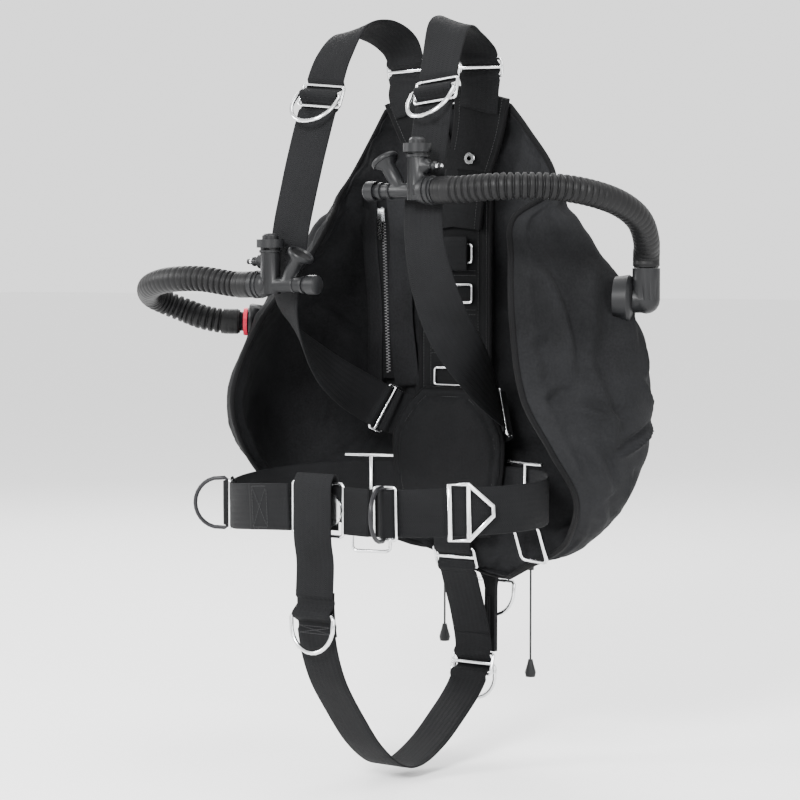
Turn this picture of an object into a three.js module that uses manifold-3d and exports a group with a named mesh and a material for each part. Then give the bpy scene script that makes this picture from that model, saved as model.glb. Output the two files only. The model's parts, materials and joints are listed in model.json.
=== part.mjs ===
// Sidemount buoyancy vest: a webbing harness with a soft wing, two corrugated hoses with inflators,
// pull dumps and stainless fittings, laid out as it hangs on a standing diver.
// Millimetres. +X is the diver's left, -Y the diver's front, +Z up.
// The origin is the middle of the lumbar pad's flat front face, at the height of the waist belt.

import * as THREE from 'three';
import { mergeVertices } from 'three/addons/utils/BufferGeometryUtils.js';
import Module from 'manifold-3d';

const wasm = await Module();
wasm.setup();

// ---------------------------------------------------------------- driving dimensions

const GAP = 0.3;                  // clearance between pieces that touch

const WEBBING_WIDTH = 50;
const WEBBING_THICKNESS = 2.2;
const YOKE_THICKNESS = 5;
const SPINE_THICKNESS = 6;
const SPINE_WIDTH = 96;
const SPINE_TOP = 335;
const SPINE_BOTTOM = -58;
const SPINE_FRONT = 18.6;         // Y of the spine panel's front face
const PAD_THICKNESS = 12;
const PAD_HEIGHT = 152;
const PAD_WIDTH = 150;
const PAD_TOP = 110;

const ROD = 1.8;                  // radius of the bent rod in every webbing slide
const RING_ROD = 2.3;             // radius of the bent rod in every D-ring
const SLIDE_PITCH = 9.5;          // from a slide's middle bar to its outer bars
const RING_SLIDE_PITCH = 12;      // the same on a slide that also holds a D-ring
const WEAVE_REACH = 1.5;          // pitches from a slide's middle bar to where the strap is back on its line
const D_RING_DEPTH = 40;
const HIP_RING_DEPTH = 36;

const WING_WALL = 2;              // thickness of the wing's outer cover
const BLADDER_GAP = 2.6;            // between the cover and the bladder inside it
const WING_LIFT = 30;             // how much higher the wing's hem lies on the diver's right
const WING_SHIFT = -6;            // the wing sits a little to the diver's right of the spine
const ZIPPER_WIDTH = 26;
const ZIPPER_TOP = 322;
const ZIPPER_BOTTOM = 118;
const ZIPPER_X = -104;

const HOSE_RADIUS = 14.5;
const INFLATOR_TUBE_RADIUS = 8;
const INFLATOR_BARREL_RADIUS = 11;
const INFLATOR_BARREL_HEIGHT = 40;
const BUTTON_RADIUS = 9;
const BUTTON_TRAVEL = 3;
const BUTTON_FLOOR = 1.5;         // how far the button's foot sits under the cap's rim
const DUMP_CAP_RADIUS = 10.5;
const DUMP_CAP_LENGTH = 13;
const MOUTHPIECE_REACH = 36;

const BUCKLE_LENGTH = 70;
const BUCKLE_HEIGHT = 56;
const CORD_RADIUS = 1.2;
const TOGGLE_RADIUS = 6.5;
const TOGGLE_HEIGHT = 20;

// ---------------------------------------------------------------- materials

const finish = (color, roughness, metalness = 0) =>
  new THREE.MeshStandardMaterial({ color, roughness, metalness });
const nylon = finish(0x17181a, 0.85);
const webbing = finish(0x1d1e20, 0.75);
const padding = finish(0x202124, 0.9);
const steel = finish(0xc9cbce, 0.22, 1);
const plastic = finish(0x15161a, 0.4);
const rubber = finish(0x121214, 0.55);
const redPlastic = finish(0xb3122a, 0.4);
const cordBlack = finish(0x101011, 0.8);

// ---------------------------------------------------------------- solids

const vec = (x, y, z) => new THREE.Vector3(x, y, z);
const up = vec(0, 0, 1);

function solid(geometry) {
  const bare = geometry.clone();
  bare.deleteAttribute('normal');
  bare.deleteAttribute('uv');
  const merged = mergeVertices(bare, 1e-4);
  return new wasm.Manifold(new wasm.Mesh({
    numProp: 3,
    vertProperties: new Float32Array(merged.attributes.position.array),
    triVerts: new Uint32Array(merged.index.array),
  }));
}

function shape(manifold) {
  const mesh = manifold.getMesh();
  const geometry = new THREE.BufferGeometry();
  geometry.setAttribute('position', new THREE.BufferAttribute(new Float32Array(mesh.vertProperties), 3));
  geometry.setIndex(new THREE.BufferAttribute(new Uint32Array(mesh.triVerts), 1));
  return geometry;
}

function join(...geometries) {
  return shape(geometries.map(solid).reduce((whole, piece) => whole.add(piece)));
}

function cut(base, ...tools) {
  return shape(tools.map(solid).reduce((whole, tool) => whole.subtract(tool), solid(base)));
}

function mirrored(geometry) {
  const copy = geometry.clone();
  copy.scale(-1, 1, 1);
  const index = copy.index.array;
  for (let i = 0; i < index.length; i += 3) {
    const first = index[i];
    index[i] = index[i + 1];
    index[i + 1] = first;
  }
  return copy;
}

// A closed solid from rings of points: neighbouring rings are joined, and the two ends are capped
// with fans, or the last ring meets the first when the loop is closed.
function loft(rings, closed = false) {
  const size = rings[0].length;
  const points = rings.flat();
  const faces = [];
  const spans = closed ? rings.length : rings.length - 1;
  for (let r = 0; r < spans; r++) {
    const here = r * size;
    const next = ((r + 1) % rings.length) * size;
    for (let k = 0; k < size; k++) {
      const k2 = (k + 1) % size;
      faces.push(here + k, here + k2, next + k2, here + k, next + k2, next + k);
    }
  }
  if (!closed) {
    const last = (rings.length - 1) * size;
    for (let k = 1; k < size - 1; k++) {
      faces.push(0, k + 1, k, last, last + k, last + k + 1);
    }
  }
  const geometry = new THREE.BufferGeometry().setFromPoints(points);
  geometry.setIndex(faces);
  return geometry;
}

// Bent rod: a round bar along a closed flat outline in its own XZ plane.
function bentRod(outline, radius, sides = 8) {
  const rings = outline.map((point, i) => {
    const before = outline[(i + outline.length - 1) % outline.length];
    const after = outline[(i + 1) % outline.length];
    const along = after.clone().sub(before).normalize();
    const across = new THREE.Vector2(along.y, -along.x);
    return Array.from({ length: sides }, (_, k) => {
      const angle = (2 * Math.PI * k) / sides;
      const out = radius * Math.cos(angle);
      return vec(point.x + across.x * out, radius * Math.sin(angle), point.y + across.y * out);
    });
  });
  return loft(rings, true);
}

function roundedOutline(halfWidth, halfHeight, corner, steps = 3) {
  const points = [];
  for (const [sx, sy, start] of [[1, 1, 0], [-1, 1, 90], [-1, -1, 180], [1, -1, 270]]) {
    for (let k = 0; k <= steps; k++) {
      const angle = THREE.MathUtils.degToRad(start + (90 * k) / steps);
      points.push(new THREE.Vector2(
        sx * (halfWidth - corner) + corner * Math.cos(angle),
        sy * (halfHeight - corner) + corner * Math.sin(angle)));
    }
  }
  return points;
}

function bar(radius, length, sides = 8) {
  const rod = new THREE.CylinderGeometry(radius, radius, length, sides);
  return rod.rotateZ(Math.PI / 2);
}

// Three-bar slide for webbing: a bent rod frame with a bar across its middle.
function webbingSlide(pitch, width = WEBBING_WIDTH) {
  const half = width / 2 + ROD + 2 * GAP;
  return join(bentRod(roundedOutline(half, pitch, 3), ROD), bar(ROD, 2 * half));
}

// D-ring: a straight bar at the origin with its bow hanging down.
function dRing(depth, width = WEBBING_WIDTH) {
  const half = width / 2 + RING_ROD + 2 * GAP;
  const leg = depth * 0.25;
  const points = [new THREE.Vector2(-half + 2, 0), new THREE.Vector2(half - 2, 0)];
  const steps = 14;
  for (let k = 0; k <= steps; k++) {
    const angle = (Math.PI * k) / steps;
    const swell = k === 0 || k === steps ? leg * 0.35 : leg;
    points.push(new THREE.Vector2(half * Math.cos(angle), -swell - (depth - leg) * Math.sin(angle)));
  }
  return bentRod(points.reverse(), RING_ROD);
}

// ---------------------------------------------------------------- webbing routes

// A route is a smooth centre line through hand-placed stations [x, y, z, across x, y, z], where
// "across" is the direction of the webbing's width.
class Route {
  constructor(stations) {
    this.curve = new THREE.CatmullRomCurve3(stations.map(([x, y, z]) => vec(x, y, z)), false, 'centripetal');
    this.curve.arcLengthDivisions = 600;
    this.widths = stations.map(([, , , x, y, z]) => vec(x, y, z).normalize());
    this.length = this.curve.getLength();
    const lengths = this.curve.getLengths();
    this.marks = stations.map((_, i) =>
      lengths[Math.round((i / (stations.length - 1)) * (lengths.length - 1))]);
  }

  at(distance) {
    const u = THREE.MathUtils.clamp(distance / this.length, 0, 1);
    const point = this.curve.getPointAt(u);
    const along = this.curve.getTangentAt(u).normalize();
    let i = this.marks.findIndex((mark) => mark > distance);
    i = i < 0 ? this.marks.length - 1 : Math.max(i, 1);
    const share = (distance - this.marks[i - 1]) / (this.marks[i] - this.marks[i - 1]);
    const raw = this.widths[i - 1].clone().lerp(this.widths[i], THREE.MathUtils.clamp(share, 0, 1));
    const out = along.clone().cross(raw).normalize();
    const across = out.clone().cross(along).normalize();
    return { point, along, across, out };
  }

  // Where a fitting sits: its X along the webbing's width, its Y inward, its Z back along the route.
  seat(distance, outward = 0) {
    const { point, along, across, out } = this.at(distance);
    const matrix = new THREE.Matrix4().makeBasis(across, out.clone().negate(), along.clone().negate());
    if (matrix.determinant() < 0) {
      matrix.makeBasis(across.clone().negate(), out.clone().negate(), along.clone().negate());
    }
    matrix.setPosition(point.clone().addScaledVector(out, outward));
    return matrix;
  }
}

// How far the webbing stands off its route as it weaves over a slide's middle bar and under the
// outer ones. A slide that holds a D-ring lifts it over the ring's bar too.
const UNDER = ROD + WEBBING_THICKNESS / 2 + 2 * GAP;
const RING_BAR_OFFSET = ROD + RING_ROD + GAP;
const OVER_RING = RING_BAR_OFFSET + RING_ROD + WEBBING_THICKNESS / 2 + GAP;

function weave(distance, slides) {
  for (const { at, pitch, ring } of slides) {
    const away = Math.abs(distance - at);
    if (away < WEAVE_REACH * pitch) {
      const top = ring ? OVER_RING : UNDER;
      const wave = Math.cos((Math.PI * away) / pitch);
      const middle = (top - UNDER) / 2;
      const value = middle + (top - middle) * wave;
      return away > pitch ? value - middle * ((away - pitch) / ((WEAVE_REACH - 1) * pitch)) : value;
    }
  }
  return 0;
}

function band(route, options = {}) {
  const { width = () => WEBBING_WIDTH, thickness = WEBBING_THICKNESS, slides = [],
    from = 0, to = route.length, step = 16, lift = 0 } = options;
  const stops = new Set();
  const count = Math.max(2, Math.round((to - from) / step));
  for (let k = 0; k <= count; k++) {
    stops.add(from + ((to - from) * k) / count);
  }
  for (const { at, pitch } of slides) {
    for (const stop of [...stops]) {
      if (stop > from && stop < to && Math.abs(stop - at) < WEAVE_REACH * pitch + 4) stops.delete(stop);
    }
    for (let k = -9; k <= 9; k++) {
      stops.add(at + (k * pitch) / 6);
    }
  }
  const rings = [...stops].sort((a, b) => a - b).map((distance) => {
    const { point, across, out } = route.at(distance);
    const half = width((distance - from) / (to - from)) / 2;
    const middle = point.clone().addScaledVector(out, weave(distance, slides) + lift);
    return [[-1, -1], [1, -1], [1, 1], [-1, 1]].map(([a, b]) =>
      middle.clone().addScaledVector(across, a * half).addScaledVector(out, (b * thickness) / 2));
  });
  return loft(rings);
}

// ---------------------------------------------------------------- scene graph

const vest = new THREE.Group();

function add(name, geometry, material, matrix) {
  const mesh = new THREE.Mesh(geometry, material);
  mesh.name = name;
  if (matrix) {
    mesh.applyMatrix4(matrix);
  }
  vest.add(mesh);
  return mesh;
}

// Bakes a seat into a geometry, then mirrors it for the diver's right side.
function addPair(name, geometry, material, matrix) {
  const placed = matrix ? geometry.clone().applyMatrix4(matrix) : geometry;
  add(`${name}_left`, placed, material);
  add(`${name}_right`, mirrored(placed), material);
}

// ---------------------------------------------------------------- back: spine, yoke, lumbar pad

function plateXZ(outline, thickness, bevel, front) {
  const options = { depth: thickness - 2 * bevel, bevelEnabled: bevel > 0, bevelSize: bevel,
    bevelThickness: bevel, bevelSegments: 1, curveSegments: 5 };
  const plate = new THREE.ExtrudeGeometry(outline, options);
  plate.translate(0, 0, -(thickness - bevel));
  plate.rotateX(Math.PI / 2);
  return plate.translate(0, front, 0);
}

function roundedRect(halfWidth, low, high, corner) {
  const outline = new THREE.Shape();
  outline.moveTo(-halfWidth + corner, low);
  outline.lineTo(halfWidth - corner, low);
  outline.quadraticCurveTo(halfWidth, low, halfWidth, low + corner);
  outline.lineTo(halfWidth, high - corner);
  outline.quadraticCurveTo(halfWidth, high, halfWidth - corner, high);
  outline.lineTo(-halfWidth + corner, high);
  outline.quadraticCurveTo(-halfWidth, high, -halfWidth, high - corner);
  outline.lineTo(-halfWidth, low + corner);
  outline.quadraticCurveTo(-halfWidth, low, -halfWidth + corner, low);
  return outline;
}

add('spine_panel',
  plateXZ(roundedRect(SPINE_WIDTH / 2, SPINE_BOTTOM, SPINE_TOP, 8), SPINE_THICKNESS, 0, SPINE_FRONT), nylon);

function padOutline() {
  const half = PAD_WIDTH / 2;
  const outline = new THREE.Shape();
  outline.moveTo(-0.66 * half, PAD_TOP - PAD_HEIGHT);
  outline.lineTo(0.66 * half, PAD_TOP - PAD_HEIGHT);
  outline.bezierCurveTo(0.86 * half, PAD_TOP - 0.98 * PAD_HEIGHT,
    0.98 * half, PAD_TOP - 0.72 * PAD_HEIGHT, half, PAD_TOP - 0.4 * PAD_HEIGHT);
  outline.bezierCurveTo(half, PAD_TOP - 0.26 * PAD_HEIGHT,
    0.66 * half, PAD_TOP - 0.08 * PAD_HEIGHT, 0.42 * half, PAD_TOP);
  outline.lineTo(-0.42 * half, PAD_TOP);
  outline.bezierCurveTo(-0.66 * half, PAD_TOP - 0.08 * PAD_HEIGHT,
    -half, PAD_TOP - 0.26 * PAD_HEIGHT, -half, PAD_TOP - 0.4 * PAD_HEIGHT);
  outline.bezierCurveTo(-0.98 * half, PAD_TOP - 0.72 * PAD_HEIGHT,
    -0.86 * half, PAD_TOP - 0.98 * PAD_HEIGHT, -0.66 * half, PAD_TOP - PAD_HEIGHT);
  return outline;
}
add('lumbar_pad', plateXZ(padOutline(), PAD_THICKNESS, 0, 0), padding);

const YOKE_BACK = SPINE_FRONT - GAP;
const YOKE_MIDDLE = YOKE_BACK - YOKE_THICKNESS / 2;
const YOKE_END = [50, 0, 440];
const yokeArm = new Route([
  [10, YOKE_MIDDLE, 291, 1, 0, 0],
  [14, YOKE_MIDDLE, 325, 1, 0, 0],
  [24, YOKE_MIDDLE, 362, 1, 0, 0],
  [40, YOKE_MIDDLE - 7, 404, 1, 0, 0],
  [...YOKE_END, 1, 0, 0],
]);
const armWidth = (share) => 54 + 15 * share ** 2;
const armSolid = band(yokeArm, { width: armWidth, thickness: YOKE_THICKNESS, step: 12 });
const EYELET = vec(26, YOKE_MIDDLE - YOKE_THICKNESS / 2 - 1.5, 368);
const eyeletBore = new THREE.CylinderGeometry(4.2, 4.2, 30, 16).translate(EYELET.x, EYELET.y, EYELET.z);
add('yoke_panel', cut(join(armSolid, mirrored(armSolid)), eyeletBore), nylon);

const eyeletProfile = [[2.8, -2.2], [6.4, -2.2], [6.9, -1.4], [6.4, -GAP], [3.9, -GAP], [3.9, 4.6], [2.8, 4.6]]
  .map(([r, h]) => new THREE.Vector2(r, h));
eyeletProfile.push(eyeletProfile[0].clone());
add('yoke_eyelet', new THREE.LatheGeometry(eyeletProfile, 16), steel,
  new THREE.Matrix4().makeTranslation(EYELET.x, EYELET.y, EYELET.z));

for (const [name, height] of [['upper', 262], ['middle', 217], ['lower', 123]]) {
  const ring = bentRod(roundedOutline(25.5, 10, 3), ROD);
  add(`spine_ring_${name}`, ring, steel,
    new THREE.Matrix4().makeTranslation(0, SPINE_FRONT - GAP - ROD, height));
}

// ---------------------------------------------------------------- shoulder straps

const shoulder = new Route([
  [45, 0.6, 420, 1, 0, 0],
  [50, -4.4, 440, 1, 0, -0.05],
  [50, -3.5, 467, 0.89, 0.13, -0.42],
  [52, -14, 494, 0.89, 0.1, -0.4],
  [57, -49, 510, 0.92, 0.05, -0.36],
  [66, -84, 507, 0.95, 0.05, -0.2],
  [73, -108, 478, 1, 0, 0],
  [77, -126, 434, 0.99, -0.05, 0.08],
  [83, -152, 350, 0.99, -0.05, 0.03],
  [90, -166, 275, 0.98, 0, 0.05],
  [104, -152, 198, 0.8, 0.35, 0.3],
  [103, -90, 136, 0.25, 0.45, 0.85],
  [86.5, -16, 92.5, -0.36, 0.25, 0.88],
  [75.5, 14.5, 79, -0.36, 0.25, 0.88],
  [62, 17.5, 76, -0.08, 0, 1],
  [44, 15.4, 76, 0, 0, 1],
]);
const YOKE_SLIDE_AT = shoulder.marks[2];
const CHEST_SLIDE_AT = shoulder.marks[7];
const LUMBAR_SLIDE_AT = (shoulder.marks[12] + shoulder.marks[13]) / 2;
const shoulderSlides = [
  { at: YOKE_SLIDE_AT, pitch: SLIDE_PITCH },
  { at: CHEST_SLIDE_AT, pitch: RING_SLIDE_PITCH, ring: true },
  { at: LUMBAR_SLIDE_AT, pitch: SLIDE_PITCH },
];
addPair('shoulder_strap', band(shoulder, { slides: shoulderSlides }), webbing);
addPair('yoke_slide', webbingSlide(SLIDE_PITCH), steel, shoulder.seat(YOKE_SLIDE_AT, 0.4));
addPair('chest_slide', webbingSlide(RING_SLIDE_PITCH), steel, shoulder.seat(CHEST_SLIDE_AT));
addPair('lumbar_slide', webbingSlide(SLIDE_PITCH), steel, shoulder.seat(LUMBAR_SLIDE_AT, 0.2));

// A D-ring on its seat, swung out from the webbing by an angle about its own bar.
function ringSeat(route, distance, swing) {
  const seat = route.seat(distance, RING_BAR_OFFSET);
  return seat.multiply(new THREE.Matrix4().makeRotationX(THREE.MathUtils.degToRad(swing)));
}
const CHEST_RING_SWING = -22;
addPair('chest_d_ring', dRing(D_RING_DEPTH), steel, ringSeat(shoulder, CHEST_SLIDE_AT, CHEST_RING_SWING));

// ---------------------------------------------------------------- waist belt

const BELT_BACK = (PAD_THICKNESS + SPINE_FRONT) / 2;
const belt = new Route([
  [36.6, -232, -7], [74, -228, -8], [112, -216, -7], [149, -195, -5], [176, -163, -4], [190, -122, -3],
  [186, -80, -2], [162, -38, 0], [126, -3, 0], [90, 11, 0], [60, BELT_BACK, 0], [0, BELT_BACK, 0],
  [-60, BELT_BACK, 0], [-90, 11, 0], [-126, -3, -1], [-162, -38, -4], [-184, -80, -8], [-189, -122, -12],
  [-174, -165, -15], [-147, -196, -15], [-112, -217, -12], [-74, -228, -9], [-36.6, -232, -7],
].map(([x, y, z]) => [x, y, z, 0, 0, 1]));
const BELT_RING_AT = belt.marks[1] + 10;
const TRIANGLE_AT = belt.marks[3] + 14;
const DROP_LEFT_AT = belt.marks[8] + 20;
const DROP_RIGHT_AT = belt.marks[14] - 22;
const HIP_RING_AT = belt.marks[18] + 4;
const beltSlides = [
  { at: BELT_RING_AT, pitch: RING_SLIDE_PITCH, ring: true },
  { at: HIP_RING_AT, pitch: RING_SLIDE_PITCH, ring: true },
];
add('waist_belt', band(belt, { slides: beltSlides }), webbing);
const LAYER = WEBBING_THICKNESS + GAP;
add('belt_tail', band(belt, { from: belt.length - 62, lift: LAYER, step: 12 }), webbing);
add('belt_fold', band(belt, { to: 30, lift: LAYER, step: 10 }), webbing);
add('belt_slide', webbingSlide(RING_SLIDE_PITCH), steel, belt.seat(BELT_RING_AT));
add('hip_slide', webbingSlide(RING_SLIDE_PITCH), steel, belt.seat(HIP_RING_AT));
const BELT_RING_SWING = -90;
add('belt_d_ring', dRing(HIP_RING_DEPTH), steel, ringSeat(belt, BELT_RING_AT, BELT_RING_SWING));
add('hip_d_ring', dRing(HIP_RING_DEPTH), steel, ringSeat(belt, HIP_RING_AT, BELT_RING_SWING));

// Triangle ring: a webbing slot with a triangular eye beside it, lying on the belt's outer face.
function triangleRing() {
  const half = 29;
  const slot = 20;
  const eye = 26;
  const outline = [[-half, slot], [half, slot], [half, 0], [5, -eye], [-5, -eye], [-half, 0]]
    .map(([x, z]) => new THREE.Vector2(x, z));
  return join(bentRod(outline, 2.6), bar(2.4, 2 * half));
}
add('triangle_ring', triangleRing(), steel, belt.seat(TRIANGLE_AT, WEBBING_THICKNESS / 2 + 2.6 + GAP));

// Drop rings hang under the belt beside the lumbar pad, from a hook with a T-bar above the belt.
const HOOK_TOP = 31;
const HOOK_BOTTOM = -31;
const T_BAR = 62;
const DROP_WIDTH = 46;
const DROP_DEPTH = 44;
const HOOK_ROD = 2.2;
const HOOK_EYE = 5;
function dropHook() {
  const stemLength = HOOK_TOP - HOOK_BOTTOM;
  const stem = new THREE.CylinderGeometry(HOOK_ROD, HOOK_ROD, stemLength, 8).rotateX(Math.PI / 2);
  stem.translate(0, 0, (HOOK_TOP + HOOK_BOTTOM) / 2);
  const eye = new THREE.TorusGeometry(HOOK_EYE, 1.6, 8, 14).rotateY(Math.PI / 2);
  eye.translate(0, 0, HOOK_BOTTOM - HOOK_EYE);
  return join(stem, bar(HOOK_ROD, T_BAR).translate(0, 0, HOOK_TOP), eye);
}
function dropRing() {
  const outline = roundedOutline(DROP_WIDTH / 2, DROP_DEPTH / 2, 6)
    .map((point) => new THREE.Vector2(point.x, point.y - DROP_DEPTH / 2));
  return bentRod(outline, HOOK_ROD);
}
function uprightSeat(distance, inward, height) {
  const { point, along, out } = belt.at(distance);
  const matrix = new THREE.Matrix4().makeBasis(along.clone().setZ(0).normalize(),
    vec(-along.y, along.x, 0).normalize(), up);
  return matrix.setPosition(point.clone().addScaledVector(out, -inward).setZ(point.z + height));
}
const STEM_INSET = WEBBING_THICKNESS / 2 + HOOK_ROD + GAP;
const DROP_SWING = { left: -18, right: 0 };
for (const [side, at] of [['left', DROP_LEFT_AT], ['right', DROP_RIGHT_AT]]) {
  add(`drop_hook_${side}`, dropHook(), steel, uprightSeat(at, STEM_INSET, 0));
  const hang = uprightSeat(at, STEM_INSET, HOOK_BOTTOM - HOOK_EYE - 0.7);
  hang.multiply(new THREE.Matrix4().makeRotationX(THREE.MathUtils.degToRad(DROP_SWING[side])));
  add(`drop_ring_${side}`, dropRing(), steel, hang);
}

// ---------------------------------------------------------------- cam buckle at the front

const BUCKLE_FRONT = -232;
const BUCKLE_MIDDLE = -7;
const frameHalf = BUCKLE_LENGTH / 2 - 1.5;
function buckleFrame() {
  const outline = roundedOutline(frameHalf, BUCKLE_HEIGHT / 2, 4);
  return bentRod(outline, ROD);
}
add('buckle_frame', buckleFrame(), steel,
  new THREE.Matrix4().makeTranslation(0, BUCKLE_FRONT, BUCKLE_MIDDLE));

const LEVER_THICKNESS = 2.5;
const LEVER_HINGE = -frameHalf + 12;
function buckleLever() {
  const half = BUCKLE_HEIGHT / 2 - 5;
  const nose = 19;
  const outline = new THREE.Shape();
  outline.moveTo(0, -half);
  outline.lineTo(34, -half);
  outline.lineTo(36, -nose);
  outline.absarc(36, 0, nose, -Math.PI / 2, Math.PI / 2, false);
  outline.lineTo(34, half);
  outline.lineTo(0, half);
  outline.closePath();
  const plate = plateXZ(outline, LEVER_THICKNESS, 0, 0);
  const barrel = new THREE.CylinderGeometry(2.6, 2.6, BUCKLE_HEIGHT - 2 * ROD - 2 * GAP, 12).rotateX(Math.PI / 2);
  return join(plate, barrel.translate(0, LEVER_THICKNESS / 2, 0));
}
const LEVER_STANDOFF = ROD + LEVER_THICKNESS + 2 * GAP;
add('buckle_lever', buckleLever(), steel,
  new THREE.Matrix4().makeTranslation(LEVER_HINGE, BUCKLE_FRONT - LEVER_STANDOFF, BUCKLE_MIDDLE));

// ---------------------------------------------------------------- crotch strap

const LOOP_FRONT = BUCKLE_FRONT - LEVER_STANDOFF - 4.5;
const LOOP_BACK = BUCKLE_FRONT + 3.4;
const LOOP_TOP = BUCKLE_MIDDLE + BUCKLE_HEIGHT / 2 + 8;
const crotch = new Route([
  [0, LOOP_BACK, BUCKLE_MIDDLE - 22], [0, LOOP_BACK, BUCKLE_MIDDLE], [0, LOOP_BACK + 0.8, LOOP_TOP - 7],
  [0, LOOP_BACK - 2, LOOP_TOP - 1.5], [0, (LOOP_FRONT + LOOP_BACK) / 2, LOOP_TOP + 1],
  [0, LOOP_FRONT + 4, LOOP_TOP - 1], [0, LOOP_FRONT, LOOP_TOP - 9],
  [0, LOOP_FRONT, BUCKLE_MIDDLE], [0, LOOP_FRONT, BUCKLE_MIDDLE - 32],
  [0, LOOP_FRONT + 4, -62], [0, LOOP_FRONT + 3, -108], [0, LOOP_FRONT + 9, -150],
  [0, LOOP_FRONT + 25, -190], [0, LOOP_FRONT + 56, -232], [0, LOOP_FRONT + 90, -270],
  [0, -112, -297], [0, -82, -302], [0, -40, -289], [0, 6, -260], [0, 46, -226], [0, 58, -196],
  [0, 48, -150], [0, 35, -118], [0, 26, -94], [0, 17.5, -70], [0, 13.9, -56], [0, 13.6, -34],
].map(([x, y, z]) => [x, y, z, 1, 0, 0]));
const FRONT_RING_AT = crotch.marks[10] + 10;
const REAR_RING_AT = crotch.marks[20] - 12;
const TOP_SLIDE_AT = (crotch.marks[23] + crotch.marks[24]) / 2;
const crotchSlides = [
  { at: FRONT_RING_AT, pitch: RING_SLIDE_PITCH, ring: true },
  { at: REAR_RING_AT, pitch: RING_SLIDE_PITCH, ring: true },
  { at: TOP_SLIDE_AT, pitch: RING_SLIDE_PITCH },
];
const STRAP_SPLIT = crotch.marks[20] + 24;
const frontStrap = band(crotch, { to: STRAP_SPLIT - GAP, slides: crotchSlides.slice(0, 2), step: 11 });
const ringKeeper = band(crotch, { from: FRONT_RING_AT - 24, to: FRONT_RING_AT + 24, lift: -LAYER, step: 12 });
add('crotch_strap_front', join(frontStrap, ringKeeper), webbing);
add('crotch_strap_rear', band(crotch, { from: STRAP_SPLIT, slides: crotchSlides.slice(2), step: 14 }), webbing);
add('crotch_rear_slide', webbingSlide(RING_SLIDE_PITCH), steel, crotch.seat(REAR_RING_AT));
add('crotch_top_slide', webbingSlide(RING_SLIDE_PITCH), steel, crotch.seat(TOP_SLIDE_AT));
add('crotch_front_d_ring', dRing(D_RING_DEPTH), steel, ringSeat(crotch, FRONT_RING_AT, -8));
add('crotch_rear_d_ring', dRing(D_RING_DEPTH), steel, ringSeat(crotch, REAR_RING_AT, -160));

// ---------------------------------------------------------------- wing

// Each level is one height of the wing: half of its middle line seen from above, from the spine to the
// outer edge on the diver's left, and its half thickness there. The sides wrap forward round the diver.
const WING_MIDDLE = SPINE_FRONT + SPINE_THICKNESS + 17;
const levels = [
  { z: 430, half: 4, line: [[0, 34], [30, 30], [60, 20], [80, 12]] },
  { z: 400, half: 9, line: [[0, 38], [40, 37], [75, 30], [103, 17]] },
  { z: 350, half: 12, line: [[0, 41], [50, 41], [98, 34], [138, 18]] },
  { z: 325, half: 13, line: [[0, 41], [62, 44], [120, 36], [152, 17], [149, 6], [142, -4]] },
  { z: 300, half: 14, line: [[0, WING_MIDDLE], [85, 45], [140, 36], [163, 10], [143, -14], [125, -40]] },
  { z: 260, half: 14, line: [[0, WING_MIDDLE], [100, 49], [168, 42], [191, 12], [165, -28], [136, -62]] },
  { z: 187, half: 15, line: [[0, WING_MIDDLE], [120, 53], [202, 50], [234, 18], [206, -52], [170, -110]] },
  { z: 110, half: 16, line: [[0, WING_MIDDLE], [130, 55], [210, 54], [248, 18], [236, -60], [196, -128]] },
  { z: 55, half: 17, line: [[0, WING_MIDDLE], [130, 55], [208, 54], [242, 20], [240, -44], [212, -100]] },
  { z: 0, half: 17, line: [[0, WING_MIDDLE], [115, 56], [180, 54], [216, 30], [224, -8], [212, -50]] },
  { z: -50, half: 15, line: [[0, 43], [90, 58], [140, 54], [166, 38], [178, 16], [174, -6]] },
  { z: -68, half: 13, line: [[0, 45], [70, 58], [118, 54], [140, 44], [148, 28], [146, 10]] },
  { z: -84, half: 12, line: [[0, 47], [50, 56], [84, 54], [100, 48], [106, 38], [106, 28]] },
  { z: -106, half: 6, line: [[0, 52], [20, 56], [40, 57], [50, 55], [56, 51], [58, 47]] },
];
const ACROSS = 13;
const EDGE = 0.42;                // the edge's half thickness as a share of the middle's
const WING_LOW = levels[levels.length - 1].z;
const WING_HIGH = levels[0].z;

function resample(line, count, inset) {
  const curve = new THREE.CatmullRomCurve3(line.map(([x, y]) => vec(x, y, 0)), false, 'centripetal');
  return Array.from({ length: count }, (_, k) => {
    const share = k / (count - 1);
    const along = curve.getTangentAt(share);
    const point = curve.getPointAt(share).addScaledVector(along, share === 1 ? -inset : 0);
    return { point, out: vec(-along.y, along.x, 0), share };
  });
}

// The hem is lifted on the diver's right.
function lifted(x, z) {
  const right = THREE.MathUtils.smoothstep(-x, -40, 70);
  return z < 0 ? z + (WING_LIFT * right * z) / WING_LOW : z;
}

// The wing's whole body, thinner all round by "inset".
function wingBody(inset, between = levels) {
  const rings = between.map(({ z, half, line }) => {
    const stations = resample(line, ACROSS, inset);
    const swell = (share) => Math.max(0.4, half * (EDGE + (1 - EDGE) * Math.sqrt(1 - share ** 4)) - inset);
    const height = z === WING_LOW || z === WING_HIGH ? z - Math.sign(z) * inset : z;
    const side = (mirror, face) => stations.map(({ point, out, share }) => {
      const x = mirror * (point.x + face * swell(share) * out.x) + WING_SHIFT;
      return vec(x, point.y + face * swell(share) * out.y, lifted(x, height));
    });
    const backLeft = side(1, 1);
    const frontLeft = side(1, -1).reverse();
    const frontRight = side(-1, -1).slice(1);
    const backRight = side(-1, 1).reverse().slice(0, -1);
    return [...backLeft, ...frontLeft, ...frontRight, ...backRight];
  });
  return loft(rings);
}

const skin = wingBody(-GAP);

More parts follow.
